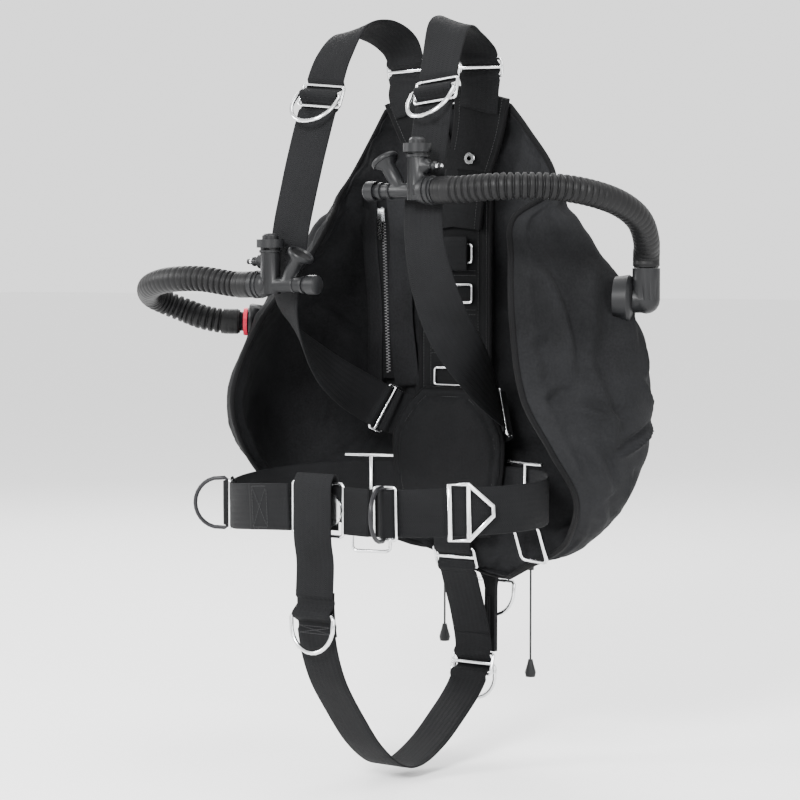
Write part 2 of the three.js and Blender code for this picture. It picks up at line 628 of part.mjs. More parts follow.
// The zipper lies straight along the wing's front, beside the spine, and leans with it.
const zipperTop = vec(ZIPPER_X, 26.4, ZIPPER_TOP);
const zipperBottom = vec(ZIPPER_X, 37.6, ZIPPER_BOTTOM);
const zipperAlong = zipperTop.clone().sub(zipperBottom);
const zipperLength = zipperAlong.length();
const zipperLean = Math.atan2(-zipperAlong.y, zipperAlong.z);
const zipperSeat = new THREE.Matrix4().makeRotationX(zipperLean)
  .setPosition(zipperTop.clone().add(zipperBottom).multiplyScalar(0.5));
const TAPE_THICKNESS = 2;
function zipperBox(width, depth, length, front) {
  const box = new THREE.BoxGeometry(width, depth, length);
  return box.translate(0, front + depth / 2, 0).applyMatrix4(zipperSeat);
}
const tapeFront = -TAPE_THICKNESS;
add('zipper_tape', zipperBox(ZIPPER_WIDTH, TAPE_THICKNESS, zipperLength, tapeFront), webbing);
const tapeRoom = zipperBox(ZIPPER_WIDTH + 2 * GAP, 40, zipperLength + 2 * GAP, tapeFront - 40 + TAPE_THICKNESS + GAP);
const zipperOpening = zipperBox(5, 40, zipperLength - 16, tapeFront - 20);
add('wing_cover', cut(wingBody(0), wingBody(WING_WALL), zipperOpening, tapeRoom), nylon);
add('wing_bladder', cut(wingBody(WING_WALL + BLADDER_GAP, levels.slice(1)), tapeRoom), rubber);

const SLIDER_LENGTH = 15;
function zipperSlider() {
  const body = new THREE.BoxGeometry(10, 5, SLIDER_LENGTH);
  const bail = new THREE.BoxGeometry(4, 2.6, 8).translate(0, -3.2, 0);
  const pull = new THREE.BoxGeometry(6, 1.8, 30).translate(0, -4.6, -14);
  return join(body, bail, pull);
}
const sliderStart = zipperTop.clone().addScaledVector(zipperAlong.clone().normalize(), -SLIDER_LENGTH);
const sliderSeat = new THREE.Matrix4().makeRotationX(zipperLean).setPosition(sliderStart);
const sliderLift = new THREE.Matrix4().makeTranslation(0, tapeFront - GAP - 2.5, 0);
add('zipper_slider', zipperSlider(), steel, sliderSeat.clone().multiply(sliderLift));

// ---------------------------------------------------------------- hoses, ports and inflators

function roundTube(points, radius, sides, steps) {
  const path = new THREE.CatmullRomCurve3(points.map(([x, y, z]) => vec(x, y, z)), false, 'centripetal');
  const section = new THREE.Shape();
  section.absarc(0, 0, radius, 0, 2 * Math.PI, false);
  return new THREE.ExtrudeGeometry(section, { steps, extrudePath: path, curveSegments: sides / 2 });
}

// A turned piece: a profile of [radius, distance] pairs spun about the direction "axis" from "base".
function turned(profile, base, axis, sides = 20) {
  const points = profile.map(([r, h]) => new THREE.Vector2(r, h));
  const turn = new THREE.Quaternion().setFromUnitVectors(vec(0, 1, 0), axis.clone().normalize());
  const geometry = new THREE.LatheGeometry(points, sides).applyQuaternion(turn);
  return geometry.translate(base.x, base.y, base.z);
}
const rod = (radius, length, base, axis, sides) =>
  turned([[0, 0], [radius, 0], [radius, length], [0, length]], base, axis, sides);

// The inflator stands at its barrel's foot: the hose leaves along "outward", and the dump cap with
// its button faces the middle of the chest.
const HOSE_SPIGOT = 24;
const DUMP_TUBE = 58;
const CAP_HEIGHT = 9;
const CAP_RADIUS = 15;
function inflatorBody(foot, outward) {
  const inward = outward.clone().negate();
  const at = (along, rise) => foot.clone().addScaledVector(outward, along).addScaledVector(up, rise);
  const lean = inward.clone().multiplyScalar(0.55).add(up.clone().multiplyScalar(0.83)).normalize();
  const mouthpiece = turned([[0, 0], [6.5, 0], [8, 12], [8, MOUTHPIECE_REACH - 8], [13, MOUTHPIECE_REACH - 3],
    [14, MOUTHPIECE_REACH], [0, MOUTHPIECE_REACH]], at(-22, 2), lean, 16);
  const nipple = turned([[0, 0], [8, 0], [8, 14], [4, 16], [4, 20], [5.2, 21], [5.2, 23], [3, 24], [3, 31], [0, 31]],
    at(0, 25), outward, 12);
  const wellFloor = CAP_HEIGHT - BUTTON_TRAVEL - BUTTON_FLOOR;
  const cap = turned([[0, 0], [CAP_RADIUS, 0], [CAP_RADIUS, CAP_HEIGHT], [BUTTON_RADIUS + 0.6, CAP_HEIGHT],
    [BUTTON_RADIUS + 0.6, wellFloor], [0, wellFloor]],
    at(0, INFLATOR_BARREL_HEIGHT), up, 20);
  const pieces = [
    rod(INFLATOR_TUBE_RADIUS, DUMP_TUBE + 4, at(-DUMP_TUBE, 0), outward, 16),
    rod(INFLATOR_BARREL_RADIUS, INFLATOR_BARREL_HEIGHT + 12, at(0, -10), up, 16),
    turned([[0, 0], [12, 0], [14, 6], [14, HOSE_SPIGOT - 2], [0, HOSE_SPIGOT - 2]], at(2, 0), outward, 16),
    mouthpiece, nipple];
  return join(...pieces, cap);
}
const INFLATORS = {
  left: { foot: vec(90, -178, 327), outward: vec(1, 0, 0) },
  right: { foot: vec(-100, -187, 228), outward: vec(-1, 0, 0) },
};
const DUMP_START = DUMP_TUBE - 5;
for (const [side, { foot, outward }] of Object.entries(INFLATORS)) {
  add(`inflator_body_${side}`, inflatorBody(foot, outward), plastic);
  const buttonFoot = INFLATOR_BARREL_HEIGHT + CAP_HEIGHT - BUTTON_FLOOR + GAP;
  const button = turned([[0, 0], [BUTTON_RADIUS, 0], [BUTTON_RADIUS, 5], [6.5, 7.4], [0, 8.2]],
    foot.clone().addScaledVector(up, buttonFoot), up, 16);
  add(`inflate_button_${side}`, button, plastic);
  const bore = INFLATOR_TUBE_RADIUS + GAP;
  const dumpCap = turned([[bore, 0], [DUMP_CAP_RADIUS, 0], [DUMP_CAP_RADIUS, DUMP_CAP_LENGTH - 2],
    [DUMP_CAP_RADIUS - 2, DUMP_CAP_LENGTH], [0, DUMP_CAP_LENGTH], [0, 5 + BUTTON_TRAVEL + GAP],
    [bore, 5 + BUTTON_TRAVEL + GAP], [bore, 0]],
    foot.clone().addScaledVector(outward, -DUMP_START), outward.clone().negate(), 16);
  add(`dump_button_${side}`, dumpCap, plastic);
}

// Elbow port on the diver's left: a flange on the wing, a short neck out and a spigot up to the hose.
const PORT_LEFT = { at: vec(233, 9, 212), out: vec(0.93, 0.36, 0).normalize() };
const NECK = 20;
const elbowCorner = PORT_LEFT.at.clone().addScaledVector(PORT_LEFT.out, NECK);
const ELBOW_RISE = 34;
function elbowPort() {
  const { at, out } = PORT_LEFT;
  const flange = turned([[0, -13], [25, -13], [27, 2], [25, 5], [17, 7], [0, 7]], at, out, 24);
  const knee = new THREE.SphereGeometry(15, 16, 10).translate(elbowCorner.x, elbowCorner.y, elbowCorner.z);
  return join(flange, rod(14, NECK, at, out, 16), knee, rod(15, ELBOW_RISE, elbowCorner, up, 16));
}
add('port_elbow_left', cut(elbowPort(), skin), plastic);
const hoseEndLeft = elbowCorner.clone().addScaledVector(up, ELBOW_RISE + GAP);

// Straight port on the diver's right, with a red locking ring round its neck.
const PORT_RIGHT = { at: vec(-214.5, -79, 184), out: vec(-0.82, -0.57, 0.02).normalize() };
const PORT_NECK_RADIUS = 11;
const PORT_NECK = 14;
const LOCK_RING = 4.5;
function straightPort() {
  const { at, out } = PORT_RIGHT;
  return turned([[0, -12], [19, -12], [21, 0], [20, 3], [PORT_NECK_RADIUS, 4], [PORT_NECK_RADIUS, PORT_NECK],
    [0, PORT_NECK]], at, out, 20);
}
add('port_straight_right', cut(straightPort(), skin), plastic);
const lockInner = PORT_NECK_RADIUS + GAP;
add('port_lock_ring_right', turned([[lockInner, 0], [16, 0], [16, LOCK_RING], [lockInner, LOCK_RING],
  [lockInner, 0]], PORT_RIGHT.at.clone().addScaledVector(PORT_RIGHT.out, 5), PORT_RIGHT.out, 20), redPlastic);
const hoseEndRight = PORT_RIGHT.at.clone().addScaledVector(PORT_RIGHT.out, PORT_NECK + GAP);

const hoseStart = ({ foot, outward }) => foot.clone().addScaledVector(outward, HOSE_SPIGOT + GAP);
const startLeft = hoseStart(INFLATORS.left);
const startRight = hoseStart(INFLATORS.right);
const hoseLeft = [
  startLeft.toArray(), [138, -178, 327], [190, -167, 330], [234, -133, 329], [256, -92, 322],
  [266, -55, 311], [267, -24, 296], [260, 2, 275], [elbowCorner.x, elbowCorner.y, 258], hoseEndLeft.toArray(),
];
const portApproach = hoseEndRight.clone().addScaledVector(PORT_RIGHT.out, 18);
const hoseRight = [
  startRight.toArray(), [-148, -187, 228], [-196, -194, 234], [-244, -194, 232], [-282, -178, 224],
  [-302, -152, 214], [-300, -132, 206], [-284, -117, 197], [-262, -109, 189],
  portApproach.toArray(), hoseEndRight.toArray(),
];
add('hose_left', roundTube(hoseLeft, HOSE_RADIUS, 12, 26), rubber);
add('hose_right', roundTube(hoseRight, HOSE_RADIUS, 12, 28), rubber);

// ---------------------------------------------------------------- pull dumps under the wing

const VALVE_RADIUS = 21;
const VALVE_FRONT = 62;
const VALVE_BACK = 92;
const GUIDE_RADIUS = 4;
const GUIDE_LENGTH = 16;
const CORD_TUCK = 13;             // how far the cord's top end lies inside its guide
const DUMPS = {
  left: { x: 60, z: -66, toggle: -202 },
  right: { x: -60, z: -42, toggle: -171 },
};
const CORD_Y = 86;
for (const [side, { x, z, toggle }] of Object.entries(DUMPS)) {
  const depth = VALVE_BACK - VALVE_FRONT;
  const disc = turned([[0, 0], [VALVE_RADIUS - 2, 0], [VALVE_RADIUS, 6], [VALVE_RADIUS, depth - 5],
    [VALVE_RADIUS - 6, depth], [0, depth]], vec(x, VALVE_FRONT, z), vec(0, 1, 0), 24);
  const guideTop = vec(x, CORD_Y, z - VALVE_RADIUS + 4);
  const down = vec(0, 0, -1);
  const guide = rod(GUIDE_RADIUS, GUIDE_LENGTH, guideTop, down, 10);
  const bore = rod(CORD_RADIUS + 0.5, GUIDE_LENGTH, guideTop.clone().add(vec(0, 0, -1)), down, 8);
  add(`dump_valve_${side}`, cut(join(disc, guide), bore, skin), plastic);
  const cordTop = guideTop.z - GUIDE_LENGTH + CORD_TUCK;
  const cordFoot = toggle + GAP;
  const points = [[x, CORD_Y, cordTop], [x, CORD_Y, (cordTop + cordFoot) / 2], [x, CORD_Y, cordFoot]];
  add(`pull_cord_${side}`, roundTube(points, CORD_RADIUS, 8, 2), cordBlack);
  add(`toggle_${side}`, turned([[0, 0], [2.6, 0], [3.4, 4], [TOGGLE_RADIUS, TOGGLE_HEIGHT - 5],
    [TOGGLE_RADIUS - 1, TOGGLE_HEIGHT], [0, TOGGLE_HEIGHT]], vec(x, CORD_Y, toggle), down, 12), plastic);
}

// ---------------------------------------------------------------- tail tab and its D-ring

const TAIL_X = 10;
const tail = new Route([
  [TAIL_X, 63, -72], [TAIL_X, 66, -86], [TAIL_X, 76, -104], [TAIL_X, 79, -116], [TAIL_X, 79, -150], [TAIL_X, 79, -196],
].map(([x, y, z]) => [x, y, z, 1, 0, 0]));
const tailWidth = (share) => 44 - 30 * Math.min(1, share / 0.4);
const railLength = 48;
const tailRail = rod(2, railLength, vec(TAIL_X, 74.4, -132), vec(0, 0, -1), 8);
add('tail_tab', cut(join(band(tail, { width: tailWidth, thickness: 6, step: 9 }), tailRail), skin), webbing);
add('tail_d_ring', dRing(D_RING_DEPTH), steel,
  new THREE.Matrix4().makeTranslation(TAIL_X, 79 + 3 + RING_ROD + GAP, -114));

export default vest;
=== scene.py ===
"""Sidemount buoyancy vest: fabric, webbing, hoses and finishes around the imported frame."""
import json
import math

import bmesh
import bpy
from mathutils import Matrix, Vector, noise


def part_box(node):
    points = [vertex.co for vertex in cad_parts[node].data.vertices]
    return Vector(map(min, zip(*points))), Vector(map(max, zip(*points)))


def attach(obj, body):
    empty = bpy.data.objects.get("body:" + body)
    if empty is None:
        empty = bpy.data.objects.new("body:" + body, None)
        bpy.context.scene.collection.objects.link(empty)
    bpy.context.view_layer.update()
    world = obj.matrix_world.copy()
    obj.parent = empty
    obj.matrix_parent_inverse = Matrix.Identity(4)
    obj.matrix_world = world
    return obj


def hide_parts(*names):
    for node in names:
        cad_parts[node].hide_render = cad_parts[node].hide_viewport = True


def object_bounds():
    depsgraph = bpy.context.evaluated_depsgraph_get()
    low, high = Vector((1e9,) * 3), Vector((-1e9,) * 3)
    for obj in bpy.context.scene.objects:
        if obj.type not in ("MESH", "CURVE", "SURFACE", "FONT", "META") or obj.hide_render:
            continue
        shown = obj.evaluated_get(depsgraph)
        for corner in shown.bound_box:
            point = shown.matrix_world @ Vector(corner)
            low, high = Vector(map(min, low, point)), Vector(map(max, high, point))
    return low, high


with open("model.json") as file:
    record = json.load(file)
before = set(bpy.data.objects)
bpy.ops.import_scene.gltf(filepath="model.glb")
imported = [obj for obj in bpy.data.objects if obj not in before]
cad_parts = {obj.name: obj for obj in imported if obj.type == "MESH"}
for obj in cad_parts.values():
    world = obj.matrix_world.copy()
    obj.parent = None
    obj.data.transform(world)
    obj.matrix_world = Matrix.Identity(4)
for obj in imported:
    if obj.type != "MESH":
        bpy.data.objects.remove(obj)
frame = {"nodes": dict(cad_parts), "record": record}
cad_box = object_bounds()
MM = 0.001
BODY_OF = {node: body for body, nodes in frame["record"]["behaviour"]["bodies"].items() for node in nodes}


# ---------------------------------------------------------------- camera, light and floor

def add_object(name, data):
    thing = bpy.data.objects.new(name, data)
    bpy.context.scene.collection.objects.link(thing)
    return thing


def build_camera():
    data = bpy.data.cameras.new("camera")
    data.lens = 113.5
    data.sensor_width = 36
    camera = add_object("camera", data)
    camera.location = (1.629, -2.320, 0.255)
    aim = Vector((-0.044, -0.025, 0.097)) - camera.location
    camera.rotation_euler = aim.to_track_quat("-Z", "Y").to_euler()
    bpy.context.scene.camera = camera


# name, place, size and power
STUDIO_LIGHTS = [
    ("key", (0.7, -2.7, 1.5), (0.8, 0.8), 180),
    ("left_fill", (-2.3, -1.5, 1.2), (0.9, 0.9), 80),
    ("fill", (2.8, -1.0, 1.1), (0.9, 1.6), 60),
    ("rim", (-1.9, 1.6, 1.7), (1.2, 1.6), 45),
    ("top", (0.3, 0.2, 2.6), (1.4, 1.0), 40),
]
FLOOR_DROP = 0.012


def area_light(name, place, target, size, power):
    data = bpy.data.lights.new(name, "AREA")
    data.shape = "RECTANGLE"
    data.size, data.size_y = size
    data.energy = power
    light = add_object(name, data)
    light.location = place
    light.rotation_euler = (Vector(target) - Vector(place)).to_track_quat("-Z", "Y").to_euler()


def build_studio():
    middle = (0, 0, 0.1)
    for name, place, size, power in STUDIO_LIGHTS:
        area_light(name, place, middle, size, power)
    world = bpy.data.worlds.new("studio")
    world.use_nodes = True
    background = world.node_tree.nodes["Background"]
    background.inputs["Color"].default_value = (1.0, 1.0, 1.0, 1)
    background.inputs["Strength"].default_value = 1.7
    bpy.context.scene.world = world
    bpy.ops.mesh.primitive_plane_add(size=60, location=(0, 0, cad_box[0][2] - FLOOR_DROP))
    floor = bpy.context.object
    floor.name = "studio_floor"
    floor.data.materials.append(plain("floor", (0.9, 0.9, 0.9), 0.85))


# ---------------------------------------------------------------- materials

def operator(operation, swap=False):
    return lambda socket, other: socket.math(operation, other, swap)


class Socket:
    """A node's output that takes part in Python arithmetic."""

    def __init__(self, finish, output):
        self.finish = finish
        self.output = output

    def math(self, operation, other=0.0, swap=False):
        first, second = (other, self) if swap else (self, other)
        return self.finish.node("ShaderNodeMath", {"operation": operation}, {0: first, 1: second})

    __add__, __radd__ = operator("ADD"), operator("ADD", swap=True)
    __sub__, __rsub__ = operator("SUBTRACT"), operator("SUBTRACT", swap=True)
    __mul__, __rmul__ = operator("MULTIPLY"), operator("MULTIPLY", swap=True)

    def sine(self):
        return self.math("SINE")

    def absolute(self):
        return self.math("ABSOLUTE")


class Finish:
    """A material under construction."""

    def __init__(self, name):
        self.material = bpy.data.materials.new(name)
        self.material.use_nodes = True
        self.tree = self.material.node_tree
        self.shader = self.tree.nodes["Principled BSDF"]

    def plug(self, value, socket):
        if isinstance(value, Socket):
            self.tree.links.new(value.output, socket)
        else:
            socket.default_value = value

    def node(self, kind, settings=None, inputs=None, output=0):
        node = self.tree.nodes.new(kind)
        for key, value in (settings or {}).items():
            if key == "stops":
                self.set_stops(node.color_ramp, value)
            else:
                setattr(node, key, value)
        for key, value in (inputs or {}).items():
            self.plug(value, node.inputs[key])
        return Socket(self, node.outputs[output])

    @staticmethod
    def set_stops(ramp, stops):
        while len(ramp.elements) < len(stops):
            ramp.elements.new(0.5)
        for element, (place, value) in zip(ramp.elements, stops):
            element.position = place
            element.color = (value, value, value, 1)

    def place(self, output="Object"):
        return self.node("ShaderNodeTexCoord", output=output)

    def split(self, vector):
        node = self.tree.nodes.new("ShaderNodeSeparateXYZ")
        self.plug(vector, node.inputs[0])
        return [Socket(self, out) for out in node.outputs]

    def noise(self, vector, scale, detail=3.0, roughness=0.55):
        return self.node("ShaderNodeTexNoise", None, {
            "Vector": vector, "Scale": scale, "Detail": detail, "Roughness": roughness})

    def ramp(self, value, *stops):
        return self.node("ShaderNodeValToRGB", {"stops": stops}, {0: value})

    def blend(self, factor, first, second):
        return self.node("ShaderNodeMix", {"data_type": "RGBA"}, {
            0: factor, 6: (*first, 1), 7: (*second, 1)}, output=2)

    def bump(self, height, strength, distance):
        return self.node("ShaderNodeBump", None, {
            "Strength": strength, "Distance": distance, "Height": height})

    def set(self, **values):
        for key, value in values.items():
            socket = self.shader.inputs[key.replace("_", " ")]
            self.plug((*value, 1) if isinstance(value, tuple) else value, socket)
        return self

    def done(self):
        return self.material


def plain(name, color, roughness):
    return Finish(name).set(Base_Color=color, Roughness=roughness).done()


def nylon_cloth(name, dark, light, thread=0.0009):
    """Coarse plain-woven nylon with a dusty, uneven face."""
    f = Finish(name)
    place = f.place()
    x, y, z = f.split(place)
    turn = 2 * math.pi / thread
    weave = ((x + y * 0.6) * turn).sine() * (z * turn).sine()
    cloudy = f.noise(place, 7.0, 4.0)
    grain = f.noise(place, 420.0, 2.0)
    tone = f.ramp(cloudy * 0.7 + grain * 0.3, (0.36, 0.0), (0.68, 1.0))
    f.set(Base_Color=f.blend(tone, dark, light), Roughness=0.62 + cloudy * 0.22)
    f.set(Sheen_Weight=0.01, Sheen_Roughness=0.45, Specular_IOR_Level=0.05)
    height = weave * 0.35 + grain + f.noise(place, 60.0, 3.0) * 1.6
    f.set(Normal=f.bump(height, 0.42, 0.0006))
    return f.done()


HERRINGBONE_WIDTH, HERRINGBONE_RISE = 0.0062, 0.0032
RIB_PITCH, PICK_PITCH = 0.0021, 0.0013


def webbing_weave(name, dark, light):
    """Ribbed seat-belt weave that follows the webbing through its own UV map, measured in metres."""
    f = Finish(name)
    u, v, _ = f.split(f.place("UV"))
    zigzag = (u * (math.pi / HERRINGBONE_WIDTH)).sine().absolute() * HERRINGBONE_RISE
    rib = ((v + zigzag) * (2 * math.pi / RIB_PITCH)).sine()
    pick = (u * (2 * math.pi / PICK_PITCH)).sine()
    place = f.place()
    cloudy = f.noise(place, 14.0, 4.0)
    tone = f.ramp(cloudy * 0.6 + rib * 0.12 + 0.2, (0.3, 0.0), (0.72, 1.0))
    f.set(Base_Color=f.blend(tone, dark, light), Roughness=0.52 + cloudy * 0.25)
    f.set(Sheen_Weight=0.01, Sheen_Roughness=0.4, Specular_IOR_Level=0.06)
    f.set(Normal=f.bump(rib * 0.8 + pick * 0.35, 0.5, 0.0005))
    return f.done()


def polished_steel():
    f = Finish("polished_steel")
    place = f.place()
    smudge = f.noise(place, 60.0, 4.0)
    scratch = f.noise(f.node("ShaderNodeMapping", None, {0: place, "Scale": (900, 900, 90)}), 1.0, 2.0)
    f.set(Base_Color=f.blend(smudge, (0.60, 0.61, 0.62), (0.78, 0.785, 0.79)), Metallic=1.0)
    f.set(Roughness=0.12 + smudge * 0.16, Normal=f.bump(scratch, 0.08, 0.0002))
    return f.done()


def moulded(name, dark, light, roughness=0.34):
    f = Finish(name)
    place = f.place()
    cloudy = f.noise(place, 26.0, 3.0)
    pits = f.noise(place, 1400.0, 1.0)
    f.set(Base_Color=f.blend(cloudy, dark, light), Roughness=roughness + cloudy * 0.16)
    f.set(Normal=f.bump(pits, 0.1, 0.0002), Specular_IOR_Level=0.2)
    return f.done()


def hose_rubber():
    f = Finish("hose_rubber")
    place = f.place()
    dust = f.noise(place, 40.0, 4.0)
    f.set(Base_Color=f.blend(dust, (0.0035, 0.0035, 0.0037), (0.0085, 0.0085, 0.0088)),
          Roughness=0.34 + dust * 0.25)
    f.set(Normal=f.bump(f.noise(place, 900.0, 1.0), 0.1, 0.0002), Specular_IOR_Level=0.13)
    return f.done()


def braided_cord():
    f = Finish("braided_cord")
    x, y, z = f.split(f.place())
    braid = ((x + y) * 5200.0 + z * 2600.0).sine() * ((x - y) * 5200.0 - z * 2600.0).sine()
    f.set(Base_Color=f.blend(braid * 0.5 + 0.5, (0.003, 0.003, 0.0033), (0.014, 0.014, 0.015)), Roughness=0.7)
    f.set(Normal=f.bump(braid, 0.5, 0.0004))
    return f.done()


# Painted light: this cloth is made lighter than the harness and pad nylons to lift the shade in the wing's hollow
# bowl.
LIFTED_NYLON = nylon_cloth("wing_nylon_painted_light", (0.0046, 0.0047, 0.0051), (0.0135, 0.0138, 0.0148))
PANEL = nylon_cloth("harness_nylon", (0.0030, 0.0031, 0.0033), (0.0075, 0.0077, 0.0082), thread=0.0012)
PAD_CLOTH = nylon_cloth("pad_cloth", (0.0036, 0.0037, 0.0040), (0.0090, 0.0092, 0.0098), thread=0.0007)
WEBBING = webbing_weave("woven_webbing", (0.0030, 0.0031, 0.0034), (0.0085, 0.0087, 0.0094))
BINDING = webbing_weave("binding_tape", (0.0022, 0.0022, 0.0024), (0.0060, 0.0060, 0.0065))
STEEL = polished_steel()
DARK_STEEL = moulded("blackened_steel", (0.006, 0.006, 0.007), (0.016, 0.016, 0.018), roughness=0.28)
PLASTIC = moulded("moulded_plastic", (0.0045, 0.0047, 0.0052), (0.0095, 0.0098, 0.0105))
RED = moulded("red_plastic", (0.42, 0.008, 0.03), (0.58, 0.02, 0.06), roughness=0.26)
RUBBER = hose_rubber()
CORD = braided_cord()
THREAD = plain("sewing_thread", (0.016, 0.0165, 0.0175), 0.6)
COIL = moulded("zipper_coil", (0.05, 0.05, 0.052), (0.20, 0.20, 0.205), roughness=0.3)


# ---------------------------------------------------------------- meshes

def keep(piece, material, slot, body="harness", stands_for=()):
    """Gives a finished piece its material and the body it rides on; slot is not used."""
    piece.data.materials.clear()
    piece.data.materials.append(material)
    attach(piece, body)
    if stands_for:
        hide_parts(*stands_for)
    return piece


def mesh_piece(name, points, faces, uvs=None, smooth=True):
    """A mesh from points in millimetres; uvs give one (u, v) per point, in metres."""
    mesh = bpy.data.meshes.new(name)
    mesh.from_pydata([Vector(p) * MM for p in points], [], faces)
    mesh.validate()
    if uvs:
        layer = mesh.uv_layers.new(name="UVMap")
        for loop in mesh.loops:
            layer.data[loop.index].uv = uvs[loop.vertex_index]
    if smooth:
        mesh.polygons.foreach_set("use_smooth", [True] * len(mesh.polygons))
    return add_object(name, mesh)


def rings_to_faces(count, size, closed=False):
    """Quads between rings of equal size, with the end rings capped unless the loop is closed.

    The faces point outwards only if the rings run the right way round. Those of webbing() and wing_mesh() run the
    other way, so straps, storm flaps, wing cover and bladder still face inwards."""
    faces = []
    for r in range(count if closed else count - 1):
        here, following = r * size, (r + 1) % count * size
        for k in range(size):
            k2 = (k + 1) % size
            faces.append((here + k, here + k2, following + k2, following + k))
    if not closed:
        faces.append(tuple(reversed(range(size))))
        faces.append(tuple(range((count - 1) * size, count * size)))
    return faces


def select_only(piece):
    bpy.ops.object.select_all(action="DESELECT")
    piece.select_set(True)
    bpy.context.view_layer.objects.active = piece


def shade_by_angle(piece, degrees=40):
    select_only(piece)
    bpy.ops.object.shade_smooth_by_angle(angle=math.radians(degrees))


def face_outwards(piece):
    select_only(piece)
    bpy.ops.object.mode_set(mode="EDIT")
    bpy.ops.mesh.select_all(action="SELECT")
    bpy.ops.mesh.normals_make_consistent(inside=False)
    bpy.ops.object.mode_set(mode="OBJECT")


def side_name(side):
    return "left" if side > 0 else "right"


def running_lengths(points):
    """The distance along a line at each of its points."""
    lengths = [0.0]
    for a, b in zip(points, points[1:]):
        lengths.append(lengths[-1] + (b - a).length)
    return lengths


def smooth_copy(node, material, slot, degrees=50):
    """The same shape as a frame node, with its doubles merged so that its round stretches shade smoothly."""
    mesh = frame["nodes"][node].data.copy()
    piece = add_object(f"{node}_finish", mesh)
    shell = bmesh.new()
    shell.from_mesh(mesh)
    bmesh.ops.remove_doubles(shell, verts=shell.verts, dist=1e-6)
    bmesh.ops.dissolve_limit(shell, angle_limit=math.radians(1), verts=shell.verts, edges=shell.edges)
    shell.to_mesh(mesh)
    shell.free()
    shade_by_angle(piece, degrees)
    return keep(piece, material, slot, BODY_OF[node], [node])


# ---------------------------------------------------------------- routes through listed stations

PER_SPAN = 24
LOOK_AROUND = 1.5


def centripetal(points, per_span):
    """Points of a centripetal Catmull-Rom curve, the same number in each span."""
    points = [Vector(p) for p in points]
    padded = [points[0] * 2 - points[1], *points, points[-1] * 2 - points[-2]]
    curve = []
    for i in range(1, len(padded) - 2):
        a, b, c, d = padded[i - 1:i + 3]
        t0, t1, t2 = ((q - p).length ** 0.5 for p, q in ((a, b), (b, c), (c, d)))
        start = ((b - a) / t0 - (c - a) / (t0 + t1) + (c - b) / t1) * t1
        finish = ((c - b) / t1 - (d - b) / (t1 + t2) + (d - c) / t2) * t1
        for k in range(per_span):
            t = k / per_span
            curve.append(b + start * t + (3 * (c - b) - 2 * start - finish) * t ** 2
                         + (2 * (b - c) + start + finish) * t ** 3)
    curve.append(points[-1])
    return curve


class Route:
    """A smooth line through stations [x, y, z, across x, y, z], in millimetres."""

    def __init__(self, stations):
        self.points = centripetal([s[:3] for s in stations], PER_SPAN)
        self.widths = [Vector(s[3:]).normalized() for s in stations]
        self.lengths = running_lengths(self.points)
        self.length = self.lengths[-1]
        self.marks = self.lengths[::PER_SPAN]

    def spot(self, distance):
        distance = min(max(distance, 0.0), self.length)
        low, high = 0, len(self.lengths) - 1
        while high - low > 1:
            middle = (low + high) // 2
            low, high = (middle, high) if self.lengths[middle] <= distance else (low, middle)
        share = (distance - self.lengths[low]) / max(self.lengths[high] - self.lengths[low], 1e-9)
        return self.points[low].lerp(self.points[high], share)

    def at(self, distance):
        along = (self.spot(distance + LOOK_AROUND) - self.spot(distance - LOOK_AROUND)).normalized()
        i = next((k for k, mark in enumerate(self.marks) if mark > distance), len(self.marks) - 1)
        i = max(i, 1)
        share = (distance - self.marks[i - 1]) / (self.marks[i] - self.marks[i - 1])
        raw = self.widths[i - 1].lerp(self.widths[i], min(max(share, 0), 1))
        out = along.cross(raw).normalized()
        return self.spot(distance), along, out.cross(along).normalized(), out


ROD = 1.8
RING_ROD = 2.3
GAP = 0.3
THICK = 2.2
WIDE = 50
LAYER = THICK + GAP
UNDER = ROD + THICK / 2 + 2 * GAP
RING_BAR_OFFSET = ROD + RING_ROD + GAP
OVER_RING = RING_BAR_OFFSET + RING_ROD + THICK / 2 + GAP
SLIDE_PITCH = 9.5
RING_SLIDE_PITCH = 12


def weave(distance, slides):
    """How far the webbing stands off its route as it passes through a slide."""
    for at, pitch, ring in slides:
        away = abs(distance - at)
        if away < 1.5 * pitch:
            top = OVER_RING if ring else UNDER
            middle = (top - UNDER) / 2
            value = middle + (top - middle) * math.cos(math.pi * away / pitch)
            return value - middle * (away - pitch) / (0.5 * pitch) if away > pitch else value
    return 0.0


SECTION = [(-1, 0), (-0.985, 0.62), (-0.95, 1), (-0.5, 1), (0, 1), (0.5, 1), (0.95, 1), (0.985, 0.62),
           (1, 0), (0.985, -0.62), (0.95, -1), (0.5, -1), (0, -1), (-0.5, -1), (-0.95, -1), (-0.985, -0.62)]
SWAY, SWAY_LENGTH = 0.35, 38
RIPPLE, RIPPLE_LENGTH = 0.4, 30


def webbing(name, route, slides=(), start=0.0, end=None, lift=0.0, width=WIDE, thick=THICK, step=3.0,
            cup=0.0, seed=0.0):
    """A woven strap along a route, with rounded selvedges and a UV map in metres."""
    end = route.length if end is None else end
    half = width / 2
    count = max(4, round((end - start) / step))
    points, uvs = [], []
    for i in range(count + 1):
        distance = start + (end - start) * i / count
        spot, _, across, out = route.at(distance)
        sway = SWAY * noise.noise(Vector((distance / SWAY_LENGTH, seed, 0)))
        middle = spot + out * (weave(distance, slides) + lift + sway)
        for a, b in SECTION:
            ripple = RIPPLE * noise.noise(Vector((distance / RIPPLE_LENGTH, a * 1.5, seed + 7)))
            ripple += cup * (a * a - 0.4)
            points.append(middle + across * (a * half) + out * (b * thick / 2 + ripple * 0.5))
            uvs.append((a * half * MM, distance * MM))
    return mesh_piece(name, points, rings_to_faces(count + 1, len(SECTION)), uvs)


def flip_x(station):
    x, y, z, a, b, c = station
    return (-x, y, z, -a, b, c)


